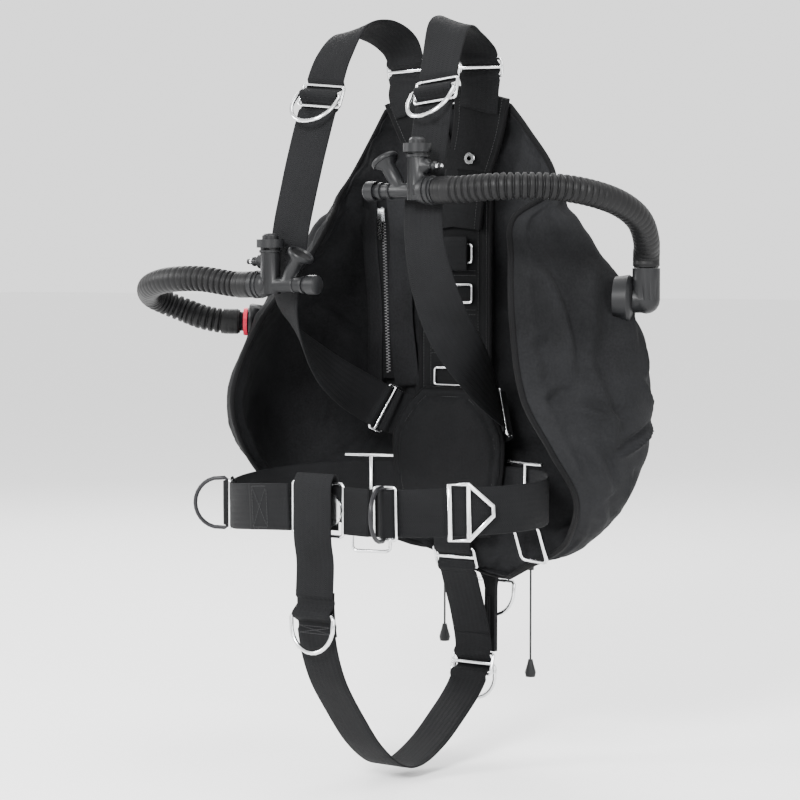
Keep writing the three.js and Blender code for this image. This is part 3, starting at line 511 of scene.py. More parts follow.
SHOULDER = [
    (45, 0.6, 420, 1, 0, 0),
    (50, -4.4, 440, 1, 0, -0.05),
    (50, -3.5, 467, 0.89, 0.13, -0.42),
    (52, -14, 494, 0.89, 0.1, -0.4),
    (57, -49, 510, 0.92, 0.05, -0.36),
    (66, -84, 507, 0.95, 0.05, -0.2),
    (73, -108, 478, 1, 0, 0),
    (77, -126, 434, 0.99, -0.05, 0.08),
    (83, -152, 350, 0.99, -0.05, 0.03),
    (90, -166, 275, 0.98, 0, 0.05),
    (104, -152, 198, 0.8, 0.35, 0.3),
    (103, -90, 136, 0.25, 0.45, 0.85),
    (86.5, -16, 92.5, -0.36, 0.25, 0.88),
    (75.5, 14.5, 79, -0.36, 0.25, 0.88),
    (62, 17.5, 76, -0.08, 0, 1),
    (44, 15.4, 76, 0, 0, 1),
]
BELT_BACK = 15.3
BELT = [(x, y, z, 0, 0, 1) for x, y, z in [
    (36.6, -232, -7), (74, -228, -8), (112, -216, -7), (149, -195, -5), (176, -163, -4), (190, -122, -3),
    (186, -80, -2), (162, -38, 0), (126, -3, 0), (90, 11, 0), (60, BELT_BACK, 0), (0, BELT_BACK, 0),
    (-60, BELT_BACK, 0), (-90, 11, 0), (-126, -3, -1), (-162, -38, -4), (-184, -80, -8), (-189, -122, -12),
    (-174, -165, -15), (-147, -196, -15), (-112, -217, -12), (-74, -228, -9), (-36.6, -232, -7)]]
LOOP_FRONT = -241.4
LOOP_BACK = -228.6
LOOP_TOP = 29
CROTCH = [(0, y, z, 1, 0, 0) for y, z in [
    (LOOP_BACK, -29), (LOOP_BACK, -7), (LOOP_BACK + 0.8, LOOP_TOP - 7), (LOOP_BACK - 2, LOOP_TOP - 1.5),
    ((LOOP_FRONT + LOOP_BACK) / 2, LOOP_TOP + 1), (LOOP_FRONT + 4, LOOP_TOP - 1), (LOOP_FRONT, LOOP_TOP - 9),
    (LOOP_FRONT, -7), (LOOP_FRONT, -39), (LOOP_FRONT + 4, -62), (LOOP_FRONT + 3, -108), (LOOP_FRONT + 9, -150),
    (LOOP_FRONT + 25, -190), (LOOP_FRONT + 56, -232), (LOOP_FRONT + 90, -270), (-112, -297), (-82, -302),
    (-40, -289), (6, -260), (46, -226), (58, -196), (48, -150), (35, -118), (26, -94), (17.5, -70),
    (13.9, -56), (13.6, -34)]]


def strap(name, route, slides=(), stands_for=(), **shape):
    """A piece of webbing in the harness's own weave."""
    return keep(webbing(name, route, slides, **shape), WEBBING, "webbing", stands_for=stands_for)


def build_straps():
    for side, stations in (("left", SHOULDER), ("right", [flip_x(s) for s in SHOULDER])):
        route = Route(stations)
        slides = [(route.marks[2], SLIDE_PITCH, False), (route.marks[7], RING_SLIDE_PITCH, True),
                  ((route.marks[12] + route.marks[13]) / 2, SLIDE_PITCH, False)]
        if side == "right":
            route.widths = [-w for w in route.widths]
        strap(f"shoulder_webbing_{side}", route, slides, [f"shoulder_strap_{side}"], cup=0.5,
              seed=3.0 if side == "left" else 9.0)
    belt = Route(BELT)
    slides = [(belt.marks[1] + 10, RING_SLIDE_PITCH, True), (belt.marks[18] + 4, RING_SLIDE_PITCH, True)]
    strap("belt_webbing", belt, slides, ["waist_belt"], seed=5.0)
    strap("belt_tail_webbing", belt, (), ["belt_tail"], start=belt.length - 62, lift=LAYER, seed=1.0)
    strap("belt_fold_webbing", belt, (), ["belt_fold"], end=30, lift=LAYER, seed=2.0)
    crotch = Route(CROTCH)
    front, rear = crotch.marks[10] + 10, crotch.marks[20] - 12
    top = (crotch.marks[23] + crotch.marks[24]) / 2
    split = crotch.marks[20] + 24
    slides = [(front, RING_SLIDE_PITCH, True), (rear, RING_SLIDE_PITCH, True)]
    strap("crotch_front_webbing", crotch, slides, ["crotch_strap_front"], end=split - GAP, seed=6.0)
    strap("crotch_ring_keeper", crotch, start=front - 24, end=front + 24, lift=-LAYER, seed=4.0)
    strap("crotch_rear_webbing", crotch, [(top, RING_SLIDE_PITCH, False)], ["crotch_strap_rear"], start=split,
          seed=8.0)


# ---------------------------------------------------------------- air wing

WING_MIDDLE = 41.6
LEVELS = [
    (430, 4, [(0, 34), (30, 30), (60, 20), (80, 12)]),
    (400, 9, [(0, 38), (40, 37), (75, 30), (103, 17)]),
    (350, 12, [(0, 41), (50, 41), (98, 34), (138, 18)]),
    (325, 13, [(0, 41), (62, 44), (120, 36), (152, 17), (149, 6), (142, -4)]),
    (300, 14, [(0, WING_MIDDLE), (85, 45), (140, 36), (163, 10), (143, -14), (125, -40)]),
    (260, 14, [(0, WING_MIDDLE), (100, 49), (168, 42), (191, 12), (165, -28), (136, -62)]),
    (187, 15, [(0, WING_MIDDLE), (120, 53), (202, 50), (234, 18), (206, -52), (170, -110)]),
    (110, 16, [(0, WING_MIDDLE), (130, 55), (210, 54), (248, 18), (236, -60), (196, -128)]),
    (55, 17, [(0, WING_MIDDLE), (130, 55), (208, 54), (242, 20), (240, -44), (212, -100)]),
    (0, 17, [(0, WING_MIDDLE), (115, 56), (180, 54), (216, 30), (224, -8), (212, -50)]),
    (-50, 15, [(0, 43), (90, 58), (140, 54), (166, 38), (178, 16), (174, -6)]),
    (-68, 13, [(0, 45), (70, 58), (118, 54), (140, 44), (148, 28), (146, 10)]),
    (-84, 12, [(0, 47), (50, 56), (84, 54), (100, 48), (106, 38), (106, 28)]),
    (-106, 6, [(0, 52), (20, 56), (40, 57), (50, 55), (56, 51), (58, 47)]),
]
WING_HEAD, WING_FOOT = LEVELS[0][0], LEVELS[-1][0]
WING_LIFT = 30
WING_SHIFT = -6
WING_COLUMNS = 24
WING_ROWS = 54


def even(line, count):
    """Points at equal distances along a smooth line through (x, y) spots."""
    curve = centripetal([(x, y, 0) for x, y in line], 30)
    lengths = running_lengths(curve)
    result, k = [], 0
    for i in range(count + 1):
        target = lengths[-1] * i / count
        while k < len(lengths) - 2 and lengths[k + 1] < target:
            k += 1
        share = (target - lengths[k]) / (lengths[k + 1] - lengths[k])
        result.append(curve[k].lerp(curve[k + 1], share))
    return result


def hermite(knots, values, at):
    """Smooth interpolation of vectors or numbers over falling knots."""
    i = 0
    while i < len(knots) - 2 and at < knots[i + 1]:
        i += 1
    span = knots[i + 1] - knots[i]
    t = (at - knots[i]) / span

    def slope(k):
        low, high = max(k - 1, 0), min(k + 1, len(knots) - 1)
        return (values[high] - values[low]) / (knots[high] - knots[low])

    t2, t3 = t * t, t * t * t
    return (values[i] * (2 * t3 - 3 * t2 + 1) + slope(i) * (span * (t3 - 2 * t2 + t))
            + values[i + 1] * (3 * t2 - 2 * t3) + slope(i + 1) * (span * (t3 - t2)))


def ease(share):
    """A smooth step from 0 to 1."""
    share = min(max(share, 0), 1)
    return share * share * (3 - 2 * share)


def lifted(x, z):
    """The hem hangs higher on the diver's right."""
    return z + WING_LIFT * ease((-x + 40) / 110) * z / WING_FOOT if z < 0 else z


def fullness(share):
    """How much of the wing's thickness is left at a share of the way to its edge."""
    return math.sqrt(max(1 - share ** 5, 0))


class Wing:
    """The wing's two faces as functions of a height and a share of the way from the spine to the edge."""

    def __init__(self):
        self.heights = [level[0] for level in LEVELS]
        self.halves = [float(level[1]) for level in LEVELS]
        lines = [even(level[2], WING_COLUMNS) for level in LEVELS]
        self.columns = [[line[k] for line in lines] for k in range(WING_COLUMNS + 1)]

    def middle(self, z, column):
        return hermite(self.heights, self.columns[column], z)

    def station(self, z, column, side, face, loft=1.0):
        """A point of the back (face 1) or front (face -1), and its outward direction."""
        here = self.middle(z, column)
        before = self.middle(z, max(column - 1, 0))
        after = self.middle(z, min(column + 1, WING_COLUMNS))
        along = (after - before).normalized()
        out = Vector((-along.y, along.x, 0)) * face
        share = column / WING_COLUMNS
        half = hermite(self.heights, self.halves, z)
        ends = min((z - WING_FOOT) / 26, (WING_HEAD - z) / 22, 1.0)
        swell = half * fullness(share) * math.sqrt(max(ends, 0)) * loft + 0.5
        point = here + out * swell
        x = side * point.x + WING_SHIFT
        return Vector((x, point.y, lifted(x, z))), Vector((side * out.x, out.y, 0))


WING = Wing()


# Folds of the wing's front and back: from, to, width and depth; the ends are (x, z) points.
FRONT_FOLDS = [
    ((168, 62), (214, 2), 6, 6.5), ((197, 44), (262, 80), 5, 6.5), ((134, 282), (118, 120), 7, 7.0),
    ((118, 122), (150, 134), 5, 5.0), ((186, 250), (166, 140), 9, 5.5), ((166, 150), (184, 56), 9, 5.0),
    ((212, 190), (228, 96), 8, 4.5), ((150, 20), (172, -34), 7, 5.0), ((120, -50), (182, -24), 6, 4.0),
    ((150, 330), (120, 262), 6, 4.5), ((236, 130), (206, 96), 5, 4.0), ((110, 380), (92, 310), 6, 4.0),
    ((-66, 186), (-108, 92), 7, 6.0), ((-104, 96), (-158, -4), 8, 6.5), ((-60, 218), (-150, 168), 7, 5.0),
    ((-148, 172), (-206, 214), 7, 4.5), ((-120, 320), (-150, 250), 6, 4.0), ((-96, 40), (-60, -30), 7, 4.5),
    ((-190, 120), (-214, 50), 8, 4.5), ((-150, 60), (-204, 20), 7, 4.5), ((-86, 140), (-76, 60), 6, 3.5),
]
BACK_FOLDS = [
    ((-60, 330), (-110, 180), 9, 5.0), ((70, 310), (150, 160), 9, 5.5), ((-40, 40), (-190, 90), 10, 5.5),
    ((30, 30), (190, 70), 10, 5.5), ((-120, -10), (-30, -50), 8, 4.0), ((120, -20), (40, -60), 8, 4.0),
    ((0, 300), (10, 160), 9, 4.0), ((-200, 200), (-120, 120), 8, 4.5), ((200, 190), (130, 110), 8, 4.5),
    ((-150, 20), (-60, 0), 8, 4.0), ((60, 140), (110, 60), 8, 4.5), ((-90, 260), (-170, 230), 7, 4.0),
]
# Folds of the outer sides where they turn forward, with (y, z) points; the keys are the wing's sides.
SIDE_FOLDS = {
    1: [((-77, 62), (-22, 4), 6, 7.5), ((-36, 46), (34, 76), 5, 7.5), ((-12, 250), (-62, 150), 9, 6.5),
        ((-60, 150), (-44, 62), 8, 6.0), ((-50, 262), (-86, 128), 6, 7.0), ((-88, 128), (-122, 112), 5, 6.0),
        ((26, 250), (-4, 160), 8, 5.5), ((-4, 130), (30, 96), 6, 5.0), ((-96, 60), (-66, 20), 5, 5.0),
        ((-30, -6), (12, -34), 6, 5.0), ((-6, 30), (18, -6), 5, 5.0), ((-90, 100), (-30, 84), 6, 4.5),
        ((6, 340), (-16, 290), 6, 4.0), ((24, 200), (10, 120), 7, 4.5)],
    -1: [((-80, 60), (-20, 10), 6, 6.5), ((-30, 110), (30, 90), 6, 6.0), ((-20, 250), (-64, 150), 8, 6.0),
         ((-60, 140), (-40, 60), 8, 5.5), ((20, 240), (0, 150), 8, 5.0), ((-34, 0), (10, -24), 6, 4.5)],
}
SIDE_START = 128
SEAM_SPAN = 260
CHANNEL_PLACE, CHANNEL_WIDTH = 15, 2.8
DEEPEST_RELIEF = 0.4 * 14


def fold(spot, start, end, width, depth):
    """A fold along a line between two points, measured along the normal: a deep line with a soft lip on one side."""
    a, b = Vector(start), Vector(end)
    line = b - a
    t = min(max((spot - a).dot(line) / line.length_squared, 0), 1)
    aside = spot - a.lerp(b, t)
    away = aside.length / width
    if away > 5:
        return 0.0
    side = 1 if line.x * aside.y - line.y * aside.x > 0 else -1
    fade = math.sin(math.pi * min(max(t, 0.04), 0.96)) ** 0.6
    if side > 0:
        lip = 0.85 * math.exp(-((away - 1.5) / 1.1) ** 2)
    else:
        lip = 0.25 * math.exp(-((away - 2.2) / 1.4) ** 2)
    return depth * fade * (lip - 0.75 * math.exp(-(away * 1.3) ** 2))


def wing_relief(point, face, share):
    """How far a point of the cover moves along its normal, in millimetres; that is inwards, as the cover faces in."""
    spot = Vector((point.x, point.z))
    value = 1.0
    for start, end, width, depth in BACK_FOLDS if face > 0 else FRONT_FOLDS:
        value += fold(spot, start, end, width, depth)
    if face > 0 and abs(point.x) > SIDE_START:
        aside = Vector((point.y, point.z))
        turn_in = min((abs(point.x) - SIDE_START) / 20, 1)
        for start, end, width, depth in SIDE_FOLDS[1 if point.x > 0 else -1]:
            value += turn_in * fold(aside, start, end, width, depth)
    flow = Vector((point.x / 42 + 0.3 * point.z / 42, point.z / 110, 3.0 * face))
    value += 2.2 * noise.noise(flow) + 1.3 * noise.noise(flow * 2.3) + 0.7 * noise.noise(flow * 5.1)
    puckers = noise.noise(Vector((point.x / 9, point.z / 9, point.y / 9)))
    seam = (1 - share) * SEAM_SPAN
    value += 1.1 * puckers * math.exp(-seam / 26)
    value -= 2.0 * math.exp(-((seam - CHANNEL_PLACE) / CHANNEL_WIDTH) ** 2)
    return max(value * min(1.0, (1 - share) * 16), -DEEPEST_RELIEF * fullness(share))


MOST_BACKWARD = 0.003
PUFF_FRAMES = 22


def puff(piece, pins, pressure, slack, caps):
    """Presses a closed cloth shell along its normals with air; slack is the spare length that turns into wrinkles.

    caps is the furthest that each point may move, and MOST_BACKWARD the furthest against its normal, in metres."""
    before = [v.co.copy() for v in piece.data.vertices]
    normals = [v.normal.copy() for v in piece.data.vertices]
    pinned = piece.vertex_groups.new(name="pinned")
    pinned.add(pins, 1.0, "REPLACE")
    select_only(piece)
    cloth = piece.modifiers.new("air", "CLOTH")
    cloth.settings.quality = 5
    cloth.settings.mass = 0.15
    cloth.settings.tension_stiffness = cloth.settings.compression_stiffness = 25
    cloth.settings.shear_stiffness = 10
    cloth.settings.bending_stiffness = 0.3
    cloth.settings.vertex_group_mass = "pinned"
    cloth.settings.use_pressure = True
    cloth.settings.uniform_pressure_force = pressure
    cloth.settings.shrink_min = -slack
    cloth.settings.effector_weights.gravity = 0
    cloth.collision_settings.use_collision = False
    cloth.point_cache.frame_start, cloth.point_cache.frame_end = 1, PUFF_FRAMES
    for step in range(1, PUFF_FRAMES + 1):
        bpy.context.scene.frame_set(step)
    bpy.ops.object.modifier_apply(modifier=cloth.name)
    piece.vertex_groups.clear()
    bpy.context.scene.frame_set(1)
    for vertex, old, normal, cap in zip(piece.data.vertices, before, normals, caps):
        move = vertex.co - old
        move -= normal * min(move.dot(normal) + MOST_BACKWARD, 0)
        vertex.co = old + move
        if move.length > cap:
            vertex.co = old + move.normalized() * cap


def wing_mesh(name, loft, last=WING_COLUMNS):
    """A closed shell over the wing's two faces, with each point's face and share kept as attributes."""
    points, faces_of, shares = [], [], []
    for row in range(WING_ROWS, -1, -1):
        turn = math.pi * row / WING_ROWS
        rise = 0.72 * (1 - 2 * row / WING_ROWS) + 0.28 * math.cos(turn)
        z = (WING_HEAD + WING_FOOT) / 2 + (WING_HEAD - WING_FOOT) / 2 * rise
        for side, face, columns in ((1, 1, range(last + 1)), (1, -1, range(last, -1, -1)),
                                    (-1, -1, range(1, last + 1)), (-1, 1, range(last, 0, -1))):
            for column in columns:
                points.append(WING.station(z, column, side, face, loft)[0])
                faces_of.append(float(face))
                shares.append(column / WING_COLUMNS)
    size = len(points) // (WING_ROWS + 1)
    piece = mesh_piece(name, points, rings_to_faces(WING_ROWS + 1, size))
    for label, values in (("face", faces_of), ("share", shares)):
        piece.data.attributes.new(label, "FLOAT", "POINT").data.foreach_set("value", values)
    return piece


def subdivide(piece, levels):
    select_only(piece)
    smooth = piece.modifiers.new("round", "SUBSURF")
    smooth.levels = smooth.render_levels = levels
    bpy.ops.object.modifier_apply(modifier=smooth.name)


def raise_relief(piece, height):
    """Moves each point along its normal by height(point in mm, face, share)."""
    mesh = piece.data
    faces_of, shares = mesh.attributes["face"].data, mesh.attributes["share"].data
    normals = [v.normal.copy() for v in mesh.vertices]
    for i, vertex in enumerate(mesh.vertices):
        vertex.co += normals[i] * (height(vertex.co / MM, faces_of[i].value, shares[i].value) * MM)
    mesh.update()


# The cover is held along its seam, behind the spine and at both ends.
SEAM_SHARE, SPINE_ZONE, END_ZONE = 0.985, 42, 10
WING_CAP = 0.009
BLADDER_COLUMNS = 17


def build_wing():
    wing = wing_mesh("wing_shell", 0.98)
    shares = wing.data.attributes["share"].data
    pins = [v.index for v in wing.data.vertices
            if shares[v.index].value > SEAM_SHARE
            or (abs(v.co.x / MM - WING_SHIFT) < SPINE_ZONE and v.co.y / MM < SPINE_ZONE)
            or not WING_FOOT + END_ZONE < v.co.z / MM < WING_HEAD - END_ZONE]
    caps = [WING_CAP * min(1, 0.25 + (1 - shares[v.index].value) * 5) for v in wing.data.vertices]
    puff(wing, pins, pressure=3.0, slack=0.06, caps=caps)
    subdivide(wing, 2)
    raise_relief(wing, wing_relief)
    keep(wing, LIFTED_NYLON, "nylon", stands_for=["wing_cover"])
    keep(wing_mesh("air_bladder", 0.04, last=BLADDER_COLUMNS), RUBBER, "bladder", stands_for=["wing_bladder"])


def tube(name, path, radius, sides=10, closed=False):
    """A round tube along points in millimetres, kept from twisting by a carried frame."""
    rings, uvs = [], []
    carried = None
    distance = 0.0
    for i, spot in enumerate(path):
        before = path[i - 1] if i or closed else path[0]
        after = path[(i + 1) % len(path)] if i < len(path) - 1 or closed else path[-1]
        along = (after - before).normalized()
        if carried is None:
            carried = along.orthogonal().normalized()
        carried = (carried - along * carried.dot(along)).normalized()
        across = along.cross(carried)
        distance += (spot - path[i - 1]).length if i else 0.0
        reach = radius(i / (len(path) - 1)) if callable(radius) else radius
        for k in range(sides):
            angle = 2 * math.pi * k / sides
            rings.append(spot + carried * (math.cos(angle) * reach) + across * (math.sin(angle) * reach))
            uvs.append((k / sides * 2 * math.pi * reach * MM, distance * MM))
    return mesh_piece(name, rings, rings_to_faces(len(path), sides, closed), uvs)


EDGE_TOP, EDGE_FOOT, EDGE_ROWS = 424, -100, 90


def piping(name, path, radius, closed=False):
    return keep(tube(name, path, radius, closed=closed), BINDING, "webbing")


def build_wing_edge():
    """Binding tape all round the wing's seam."""
    rows = [EDGE_TOP + (EDGE_FOOT - EDGE_TOP) * i / EDGE_ROWS for i in range(EDGE_ROWS + 1)]

    def middle(z, column, side):
        return (WING.station(z, column, side, -1)[0] + WING.station(z, column, side, 1)[0]) / 2

    def across(z, first, second):
        inward = range(WING_COLUMNS - 2, -1, -2)
        return [middle(z, k, side) for side, order in ((first, inward), (second, reversed(inward)))
                for k in order]

    left, right = ([middle(z, WING_COLUMNS, side) for z in rows] for side in (1, -1))
    foot, head = across(WING_FOOT + 2, 1, -1), across(WING_HEAD - 2, -1, 1)
    piping("wing_binding", left + foot + right[::-1] + head, 3.4, closed=True)


# ---------------------------------------------------------------- hoses

HOSE_RADIUS = 14.5
FOOT_LEFT, FOOT_RIGHT = Vector((90, -178, 327)), Vector((-100, -187, 228))
PORT_LEFT, OUT_LEFT = Vector((233, 9, 212)), Vector((0.93, 0.36, 0)).normalized()
PORT_RIGHT, OUT_RIGHT = Vector((-214.5, -79, 184)), Vector((-0.82, -0.57, 0.02)).normalized()
ELBOW = PORT_LEFT + OUT_LEFT * 20
HOSE_LEFT = [
    (114.3, -178, 327), (138, -178, 327), (190, -167, 330), (234, -133, 329), (256, -92, 322),
    (266, -55, 311), (267, -24, 296), (260, 2, 275), (ELBOW.x, ELBOW.y, 258), (ELBOW.x, ELBOW.y, 246.3)]
HOSE_RIGHT = [
    (-124.3, -187, 228), (-148, -187, 228), (-196, -194, 234), (-244, -194, 232), (-282, -178, 224),
    (-302, -152, 214), (-300, -132, 206), (-284, -117, 197), (-262, -109, 189),
    tuple(PORT_RIGHT + OUT_RIGHT * 32.3), tuple(PORT_RIGHT + OUT_RIGHT * 14.3)]
RIB = 7.2
CUFF = 20.0


def ribbing(side, share):
    """How deep the hose's grooves are along its length: they close up where it bends hard."""
    def fade(start, end):
        return ease((share - start) / (end - start))

    if side == "left":
        return 1 - 0.9 * fade(0.42, 0.62)
    return 1 - 0.9 * fade(0.22, 0.34) + 0.9 * fade(0.60, 0.70)


def build_hose(side, stations, node):
    """A corrugated hose: smooth cuffs at both ends and round ribs between."""
    route = Route([(*p, 0, 0, 1) for p in stations])
    length = route.length
    count = int(length / (RIB / 10))
    path = [route.spot(length * i / count) for i in range(count + 1)]

    def radius(share):
        distance = share * length
        end = min(distance, length - distance)
        if end < CUFF:
            return HOSE_RADIUS - (0.2 if end % 6 < 1.2 else 0) - (1.0 if end < 1.5 else 0)
        wave = math.cos(math.pi * (distance - CUFF) / RIB) ** 2
        return HOSE_RADIUS - 0.3 - 2.7 * ribbing(side, share) * math.exp(-(wave / 0.32) ** 2)

    hose = tube(f"corrugated_hose_{side}", path, radius, 28)
    keep(hose, RUBBER, "hose_rubber", stands_for=[node])
    metres = [p * MM for p in path[::4]] + [path[-1] * MM]


CORD_RADIUS = 1.2
CORD_STEPS = 30


def build_pull_cords():
    for side in ("left", "right"):
        low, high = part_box(f"pull_cord_{side}")
        x, y = (low.x + high.x) / 2 / MM, (low.y + high.y) / 2 / MM
        top, foot = high.z / MM, low.z / MM
        path = [Vector((x, y, top + (foot - top) * i / CORD_STEPS)) for i in range(CORD_STEPS + 1)]
        cord = tube(f"dump_cord_{side}", path, CORD_RADIUS)
        keep(cord, CORD, "cord", f"pull_{side}", [f"pull_cord_{side}"])


# ---------------------------------------------------------------- harness panels

def build_frame_copies():
    for node in frame["nodes"]:
        slot = next(s["material_slot"] for s in frame["record"]["subparts"] if s["node"] == node)
        material = {"steel": STEEL, "plastic": PLASTIC, "red_plastic": RED}.get(slot)
        if node in ("hip_d_ring", "belt_d_ring"):
            material = DARK_STEEL
        if material and node != "wing_bladder":
            smooth_copy(node, material, slot)


SPIN_STEPS = 40


def turned(name, profile, place, axis, material=None, slot="plastic"):
    """A round part spun from (radius, height) points in millimetres along an axis."""
    mesh = bpy.data.meshes.new(name)
    edges = [(k, k + 1) for k in range(len(profile) - 1)]
    mesh.from_pydata([(r * MM, 0, h * MM) for r, h in profile], edges, [])
    piece = add_object(name, mesh)
    select_only(piece)
    bpy.ops.object.mode_set(mode="EDIT")
    bpy.ops.mesh.select_all(action="SELECT")
    bpy.ops.mesh.spin(steps=SPIN_STEPS, angle=2 * math.pi, center=(0, 0, 0), axis=(0, 0, 1))
    bpy.ops.mesh.select_all(action="SELECT")
    bpy.ops.mesh.remove_doubles(threshold=1e-6)
    bpy.ops.mesh.normals_make_consistent(inside=False)
    bpy.ops.object.mode_set(mode="OBJECT")
    turn = Vector(axis).normalized().to_track_quat("Z", "Y").to_matrix().to_4x4()
    mesh.transform(Matrix.Translation(Vector(place) * MM) @ turn)
    shade_by_angle(piece, 40)
    return keep(piece, material or PLASTIC, slot)


STITCH_PITCH = 3.4


def sew(name, lines):
    """Rows of stitches; a line is a list of (point, outward direction) in millimetres."""
    points, faces = [], []
    for line in lines:
        spots = [Vector(p) for p, _ in line]
        lengths = running_lengths(spots)
        for n in range(int(lengths[-1] / STITCH_PITCH)):
            target = (n + 0.5) * STITCH_PITCH
            k = next(i for i in range(1, len(lengths)) if lengths[i] >= target) - 1
            share = (target - lengths[k]) / max(lengths[k + 1] - lengths[k], 1e-6)
            spot = spots[k].lerp(spots[k + 1], share)
            along = (spots[k + 1] - spots[k]).normalized()
            out = Vector(line[k][1]).normalized()
            across = out.cross(along).normalized()
            base = len(points)
            for a, w, h in ((-1.2, 0.12, 0.0), (-0.6, 0.3, 0.34), (0.6, 0.3, 0.34), (1.2, 0.12, 0.0)):
                points += [spot + along * a + across * w, spot + along * a + out * h,
                           spot + along * a - across * w, spot + along * a - out * 0.3]
            faces += [tuple(base + v for v in face) for face in rings_to_faces(4, 4)]
    piece = mesh_piece(name, points, faces)
    face_outwards(piece)
    return keep(piece, THREAD, "webbing")


SLAB_COLUMNS, SLAB_ROWS = 48, 150


def slab(name, top, bottom, half, middle, thick, relief):
    """A sewn panel facing forward: half(z) is its half width, relief(x, z) raises its front face."""
    points, uvs = [], []
    for row in range(SLAB_ROWS + 1):
        z = bottom + (top - bottom) * row / SLAB_ROWS
        end = min((z - bottom) / 2.0, (top - z) / 2.0, 1.0)
        for face in (-1, 1):
            for column in range(SLAB_COLUMNS + 1):
                u = (2 * column / SLAB_COLUMNS - 1) * -face
                x = half(z) * u
                round_edge = (max(1 - abs(u) ** 22, 0) ** 0.5) * (max(1 - (1 - end) ** 2, 0) ** 0.5) * 0.9 + 0.1
                y = middle + face * thick / 2 * round_edge
                if face < 0:
                    y -= relief(x, z) * round_edge
                points.append((x, y, z))
                uvs.append((x * MM, z * MM))
    return mesh_piece(name, points, rings_to_faces(SLAB_ROWS + 1, 2 * (SLAB_COLUMNS + 1)), uvs)


SPINE_TOP, SPINE_BOTTOM, SPINE_HALF, SPINE_Y = 335, -58, 48, 21.6
SPINE_THICK, SPINE_CORNER = 6, 8
SPINE_SEAMS = [300, 240, 196, 152, 96, 40]
INNER_BORDER = 35


def spine_relief(x, z):
    value = -0.9 if abs(x) > INNER_BORDER else 0.0
    value -= 1.3 * math.exp(-((abs(x) - INNER_BORDER) / 1.1) ** 2)
    if abs(x) < INNER_BORDER:
        for seam in SPINE_SEAMS:
            value -= 1.2 * math.exp(-((z - seam) / 1.3) ** 2)
    value += 0.25 * noise.noise(Vector((x / 22, z / 22, 1.0))) - 0.25
    return value


def build_spine():
    def half(z):
        inset = max(0, SPINE_CORNER - (SPINE_TOP - z), SPINE_CORNER - (z - SPINE_BOTTOM))
        return SPINE_HALF - (SPINE_CORNER - math.sqrt(max(SPINE_CORNER ** 2 - inset * inset, 0)))

    spine = slab("spine_cloth", SPINE_TOP, SPINE_BOTTOM, half, SPINE_Y, SPINE_THICK, spine_relief)
    keep(spine, PANEL, "nylon", stands_for=["spine_panel"])
    front = SPINE_Y - SPINE_THICK / 2
    lines = []
    for x in (-INNER_BORDER + 2.5, INNER_BORDER - 2.5, -SPINE_HALF + 5, SPINE_HALF - 5):
        y = front + (0.3 if abs(x) < INNER_BORDER else 1.2)
        lines.append([((x, y, z), (0, -1, 0)) for z in range(-50, 328, 6)])
    for seam in SPINE_SEAMS:
        for z in (seam - 2.6, seam + 2.6):
            lines.append([((x, front + 0.35, z), (0, -1, 0)) for x in range(-32, 33, 4)])
    sew("spine_stitches", lines)
    for side in (-1, 1):
        path = [Vector((side * (half(z) - 0.4), SPINE_Y, z)) for z in range(-56, 334, 5)]
        piping(f"spine_piping_{side_name(side)}", path, 3.1)
    # A webbing keeper over the upper ring, which leaves the ring's end on the diver's left showing.
    route = Route([(-41, 18.0, 262, 0, 0, 1), (-36, 16.6, 262, 0, 0, 1), (-29, 13.1, 262, 0, 0, 1),
                   (-10, 12.8, 262, 0, 0, 1), (8, 12.8, 262, 0, 0, 1), (21, 13.2, 262, 0, 0, 1)])
    strap("ring_keeper_upper", route, width=38, thick=1.9, step=2.0)


YOKE_START_WIDTH, YOKE_FLARE = 54, 15
YOKE = [(10, 15.8, 291), (14, 15.8, 325), (24, 15.8, 362), (40, 8.8, 404), (50, 0, 440)]


def build_yoke_edges():
    """Piping round both arms of the yoke, and a row of stitches inside it."""
    route = Route([(*p, 1, 0, 0) for p in YOKE])
    count = 60
    for side in (1, -1):
        lines = []
        for edge in (1, -1):
            path, stitches = [], []
            for i in range(count + 1):
                share = i / count
                spot, _, across, out = route.at(route.length * share)
                half = (YOKE_START_WIDTH + YOKE_FLARE * share * share) / 2
                point = spot + across * (edge * (half - 0.6))
                inner = spot + across * (edge * (half - 6)) - (out if out.y > 0 else -out) * 2.65
                if edge < 0 and point.x < 0:
                    continue
                path.append(Vector((side * point.x, point.y, point.z)))
                stitches.append(((side * inner.x, inner.y, inner.z), (0, -1, 0.1)))
            place = "outer" if edge > 0 else "inner"
            piping(f"yoke_piping_{side_name(side)}_{place}", path, 2.7)
            lines.append(stitches)
        sew(f"yoke_stitches_{side_name(side)}", lines)


def outline_of(node, near_y):
    """The (x, z) outline of a flat CAD node's face, in millimetres, in order round its middle."""
    spots = {(round(v.co.x / MM, 2), round(v.co.z / MM, 2)) for v in frame["nodes"][node].data.vertices
             if abs(v.co.y / MM - near_y) < 0.2}
    middle = Vector((0, sum(z for _, z in spots) / len(spots)))
    return sorted((Vector(p) for p in spots), key=lambda p: math.atan2(p.y - middle.y, p.x - middle.x))


def from_outline(spot, outline):
    """How far a spot is from the nearest side of an outline."""
    best = 1e9
    for a, b in zip(outline, outline[1:] + outline[:1]):
        line = b - a
        t = min(max((spot - a).dot(line) / max(line.length_squared, 1e-9), 0), 1)
        best = min(best, (spot - a.lerp(b, t)).length)
    return best


PAD_MIDDLE, PAD_FRONT, PAD_BACK = 0.0062, 0.006, 0.0088
PAD_VOXEL = 0.004
PAD_CAP = 0.0035
PAD_CHANNEL, PAD_CHANNEL_DEPTH = 9, 0.0021


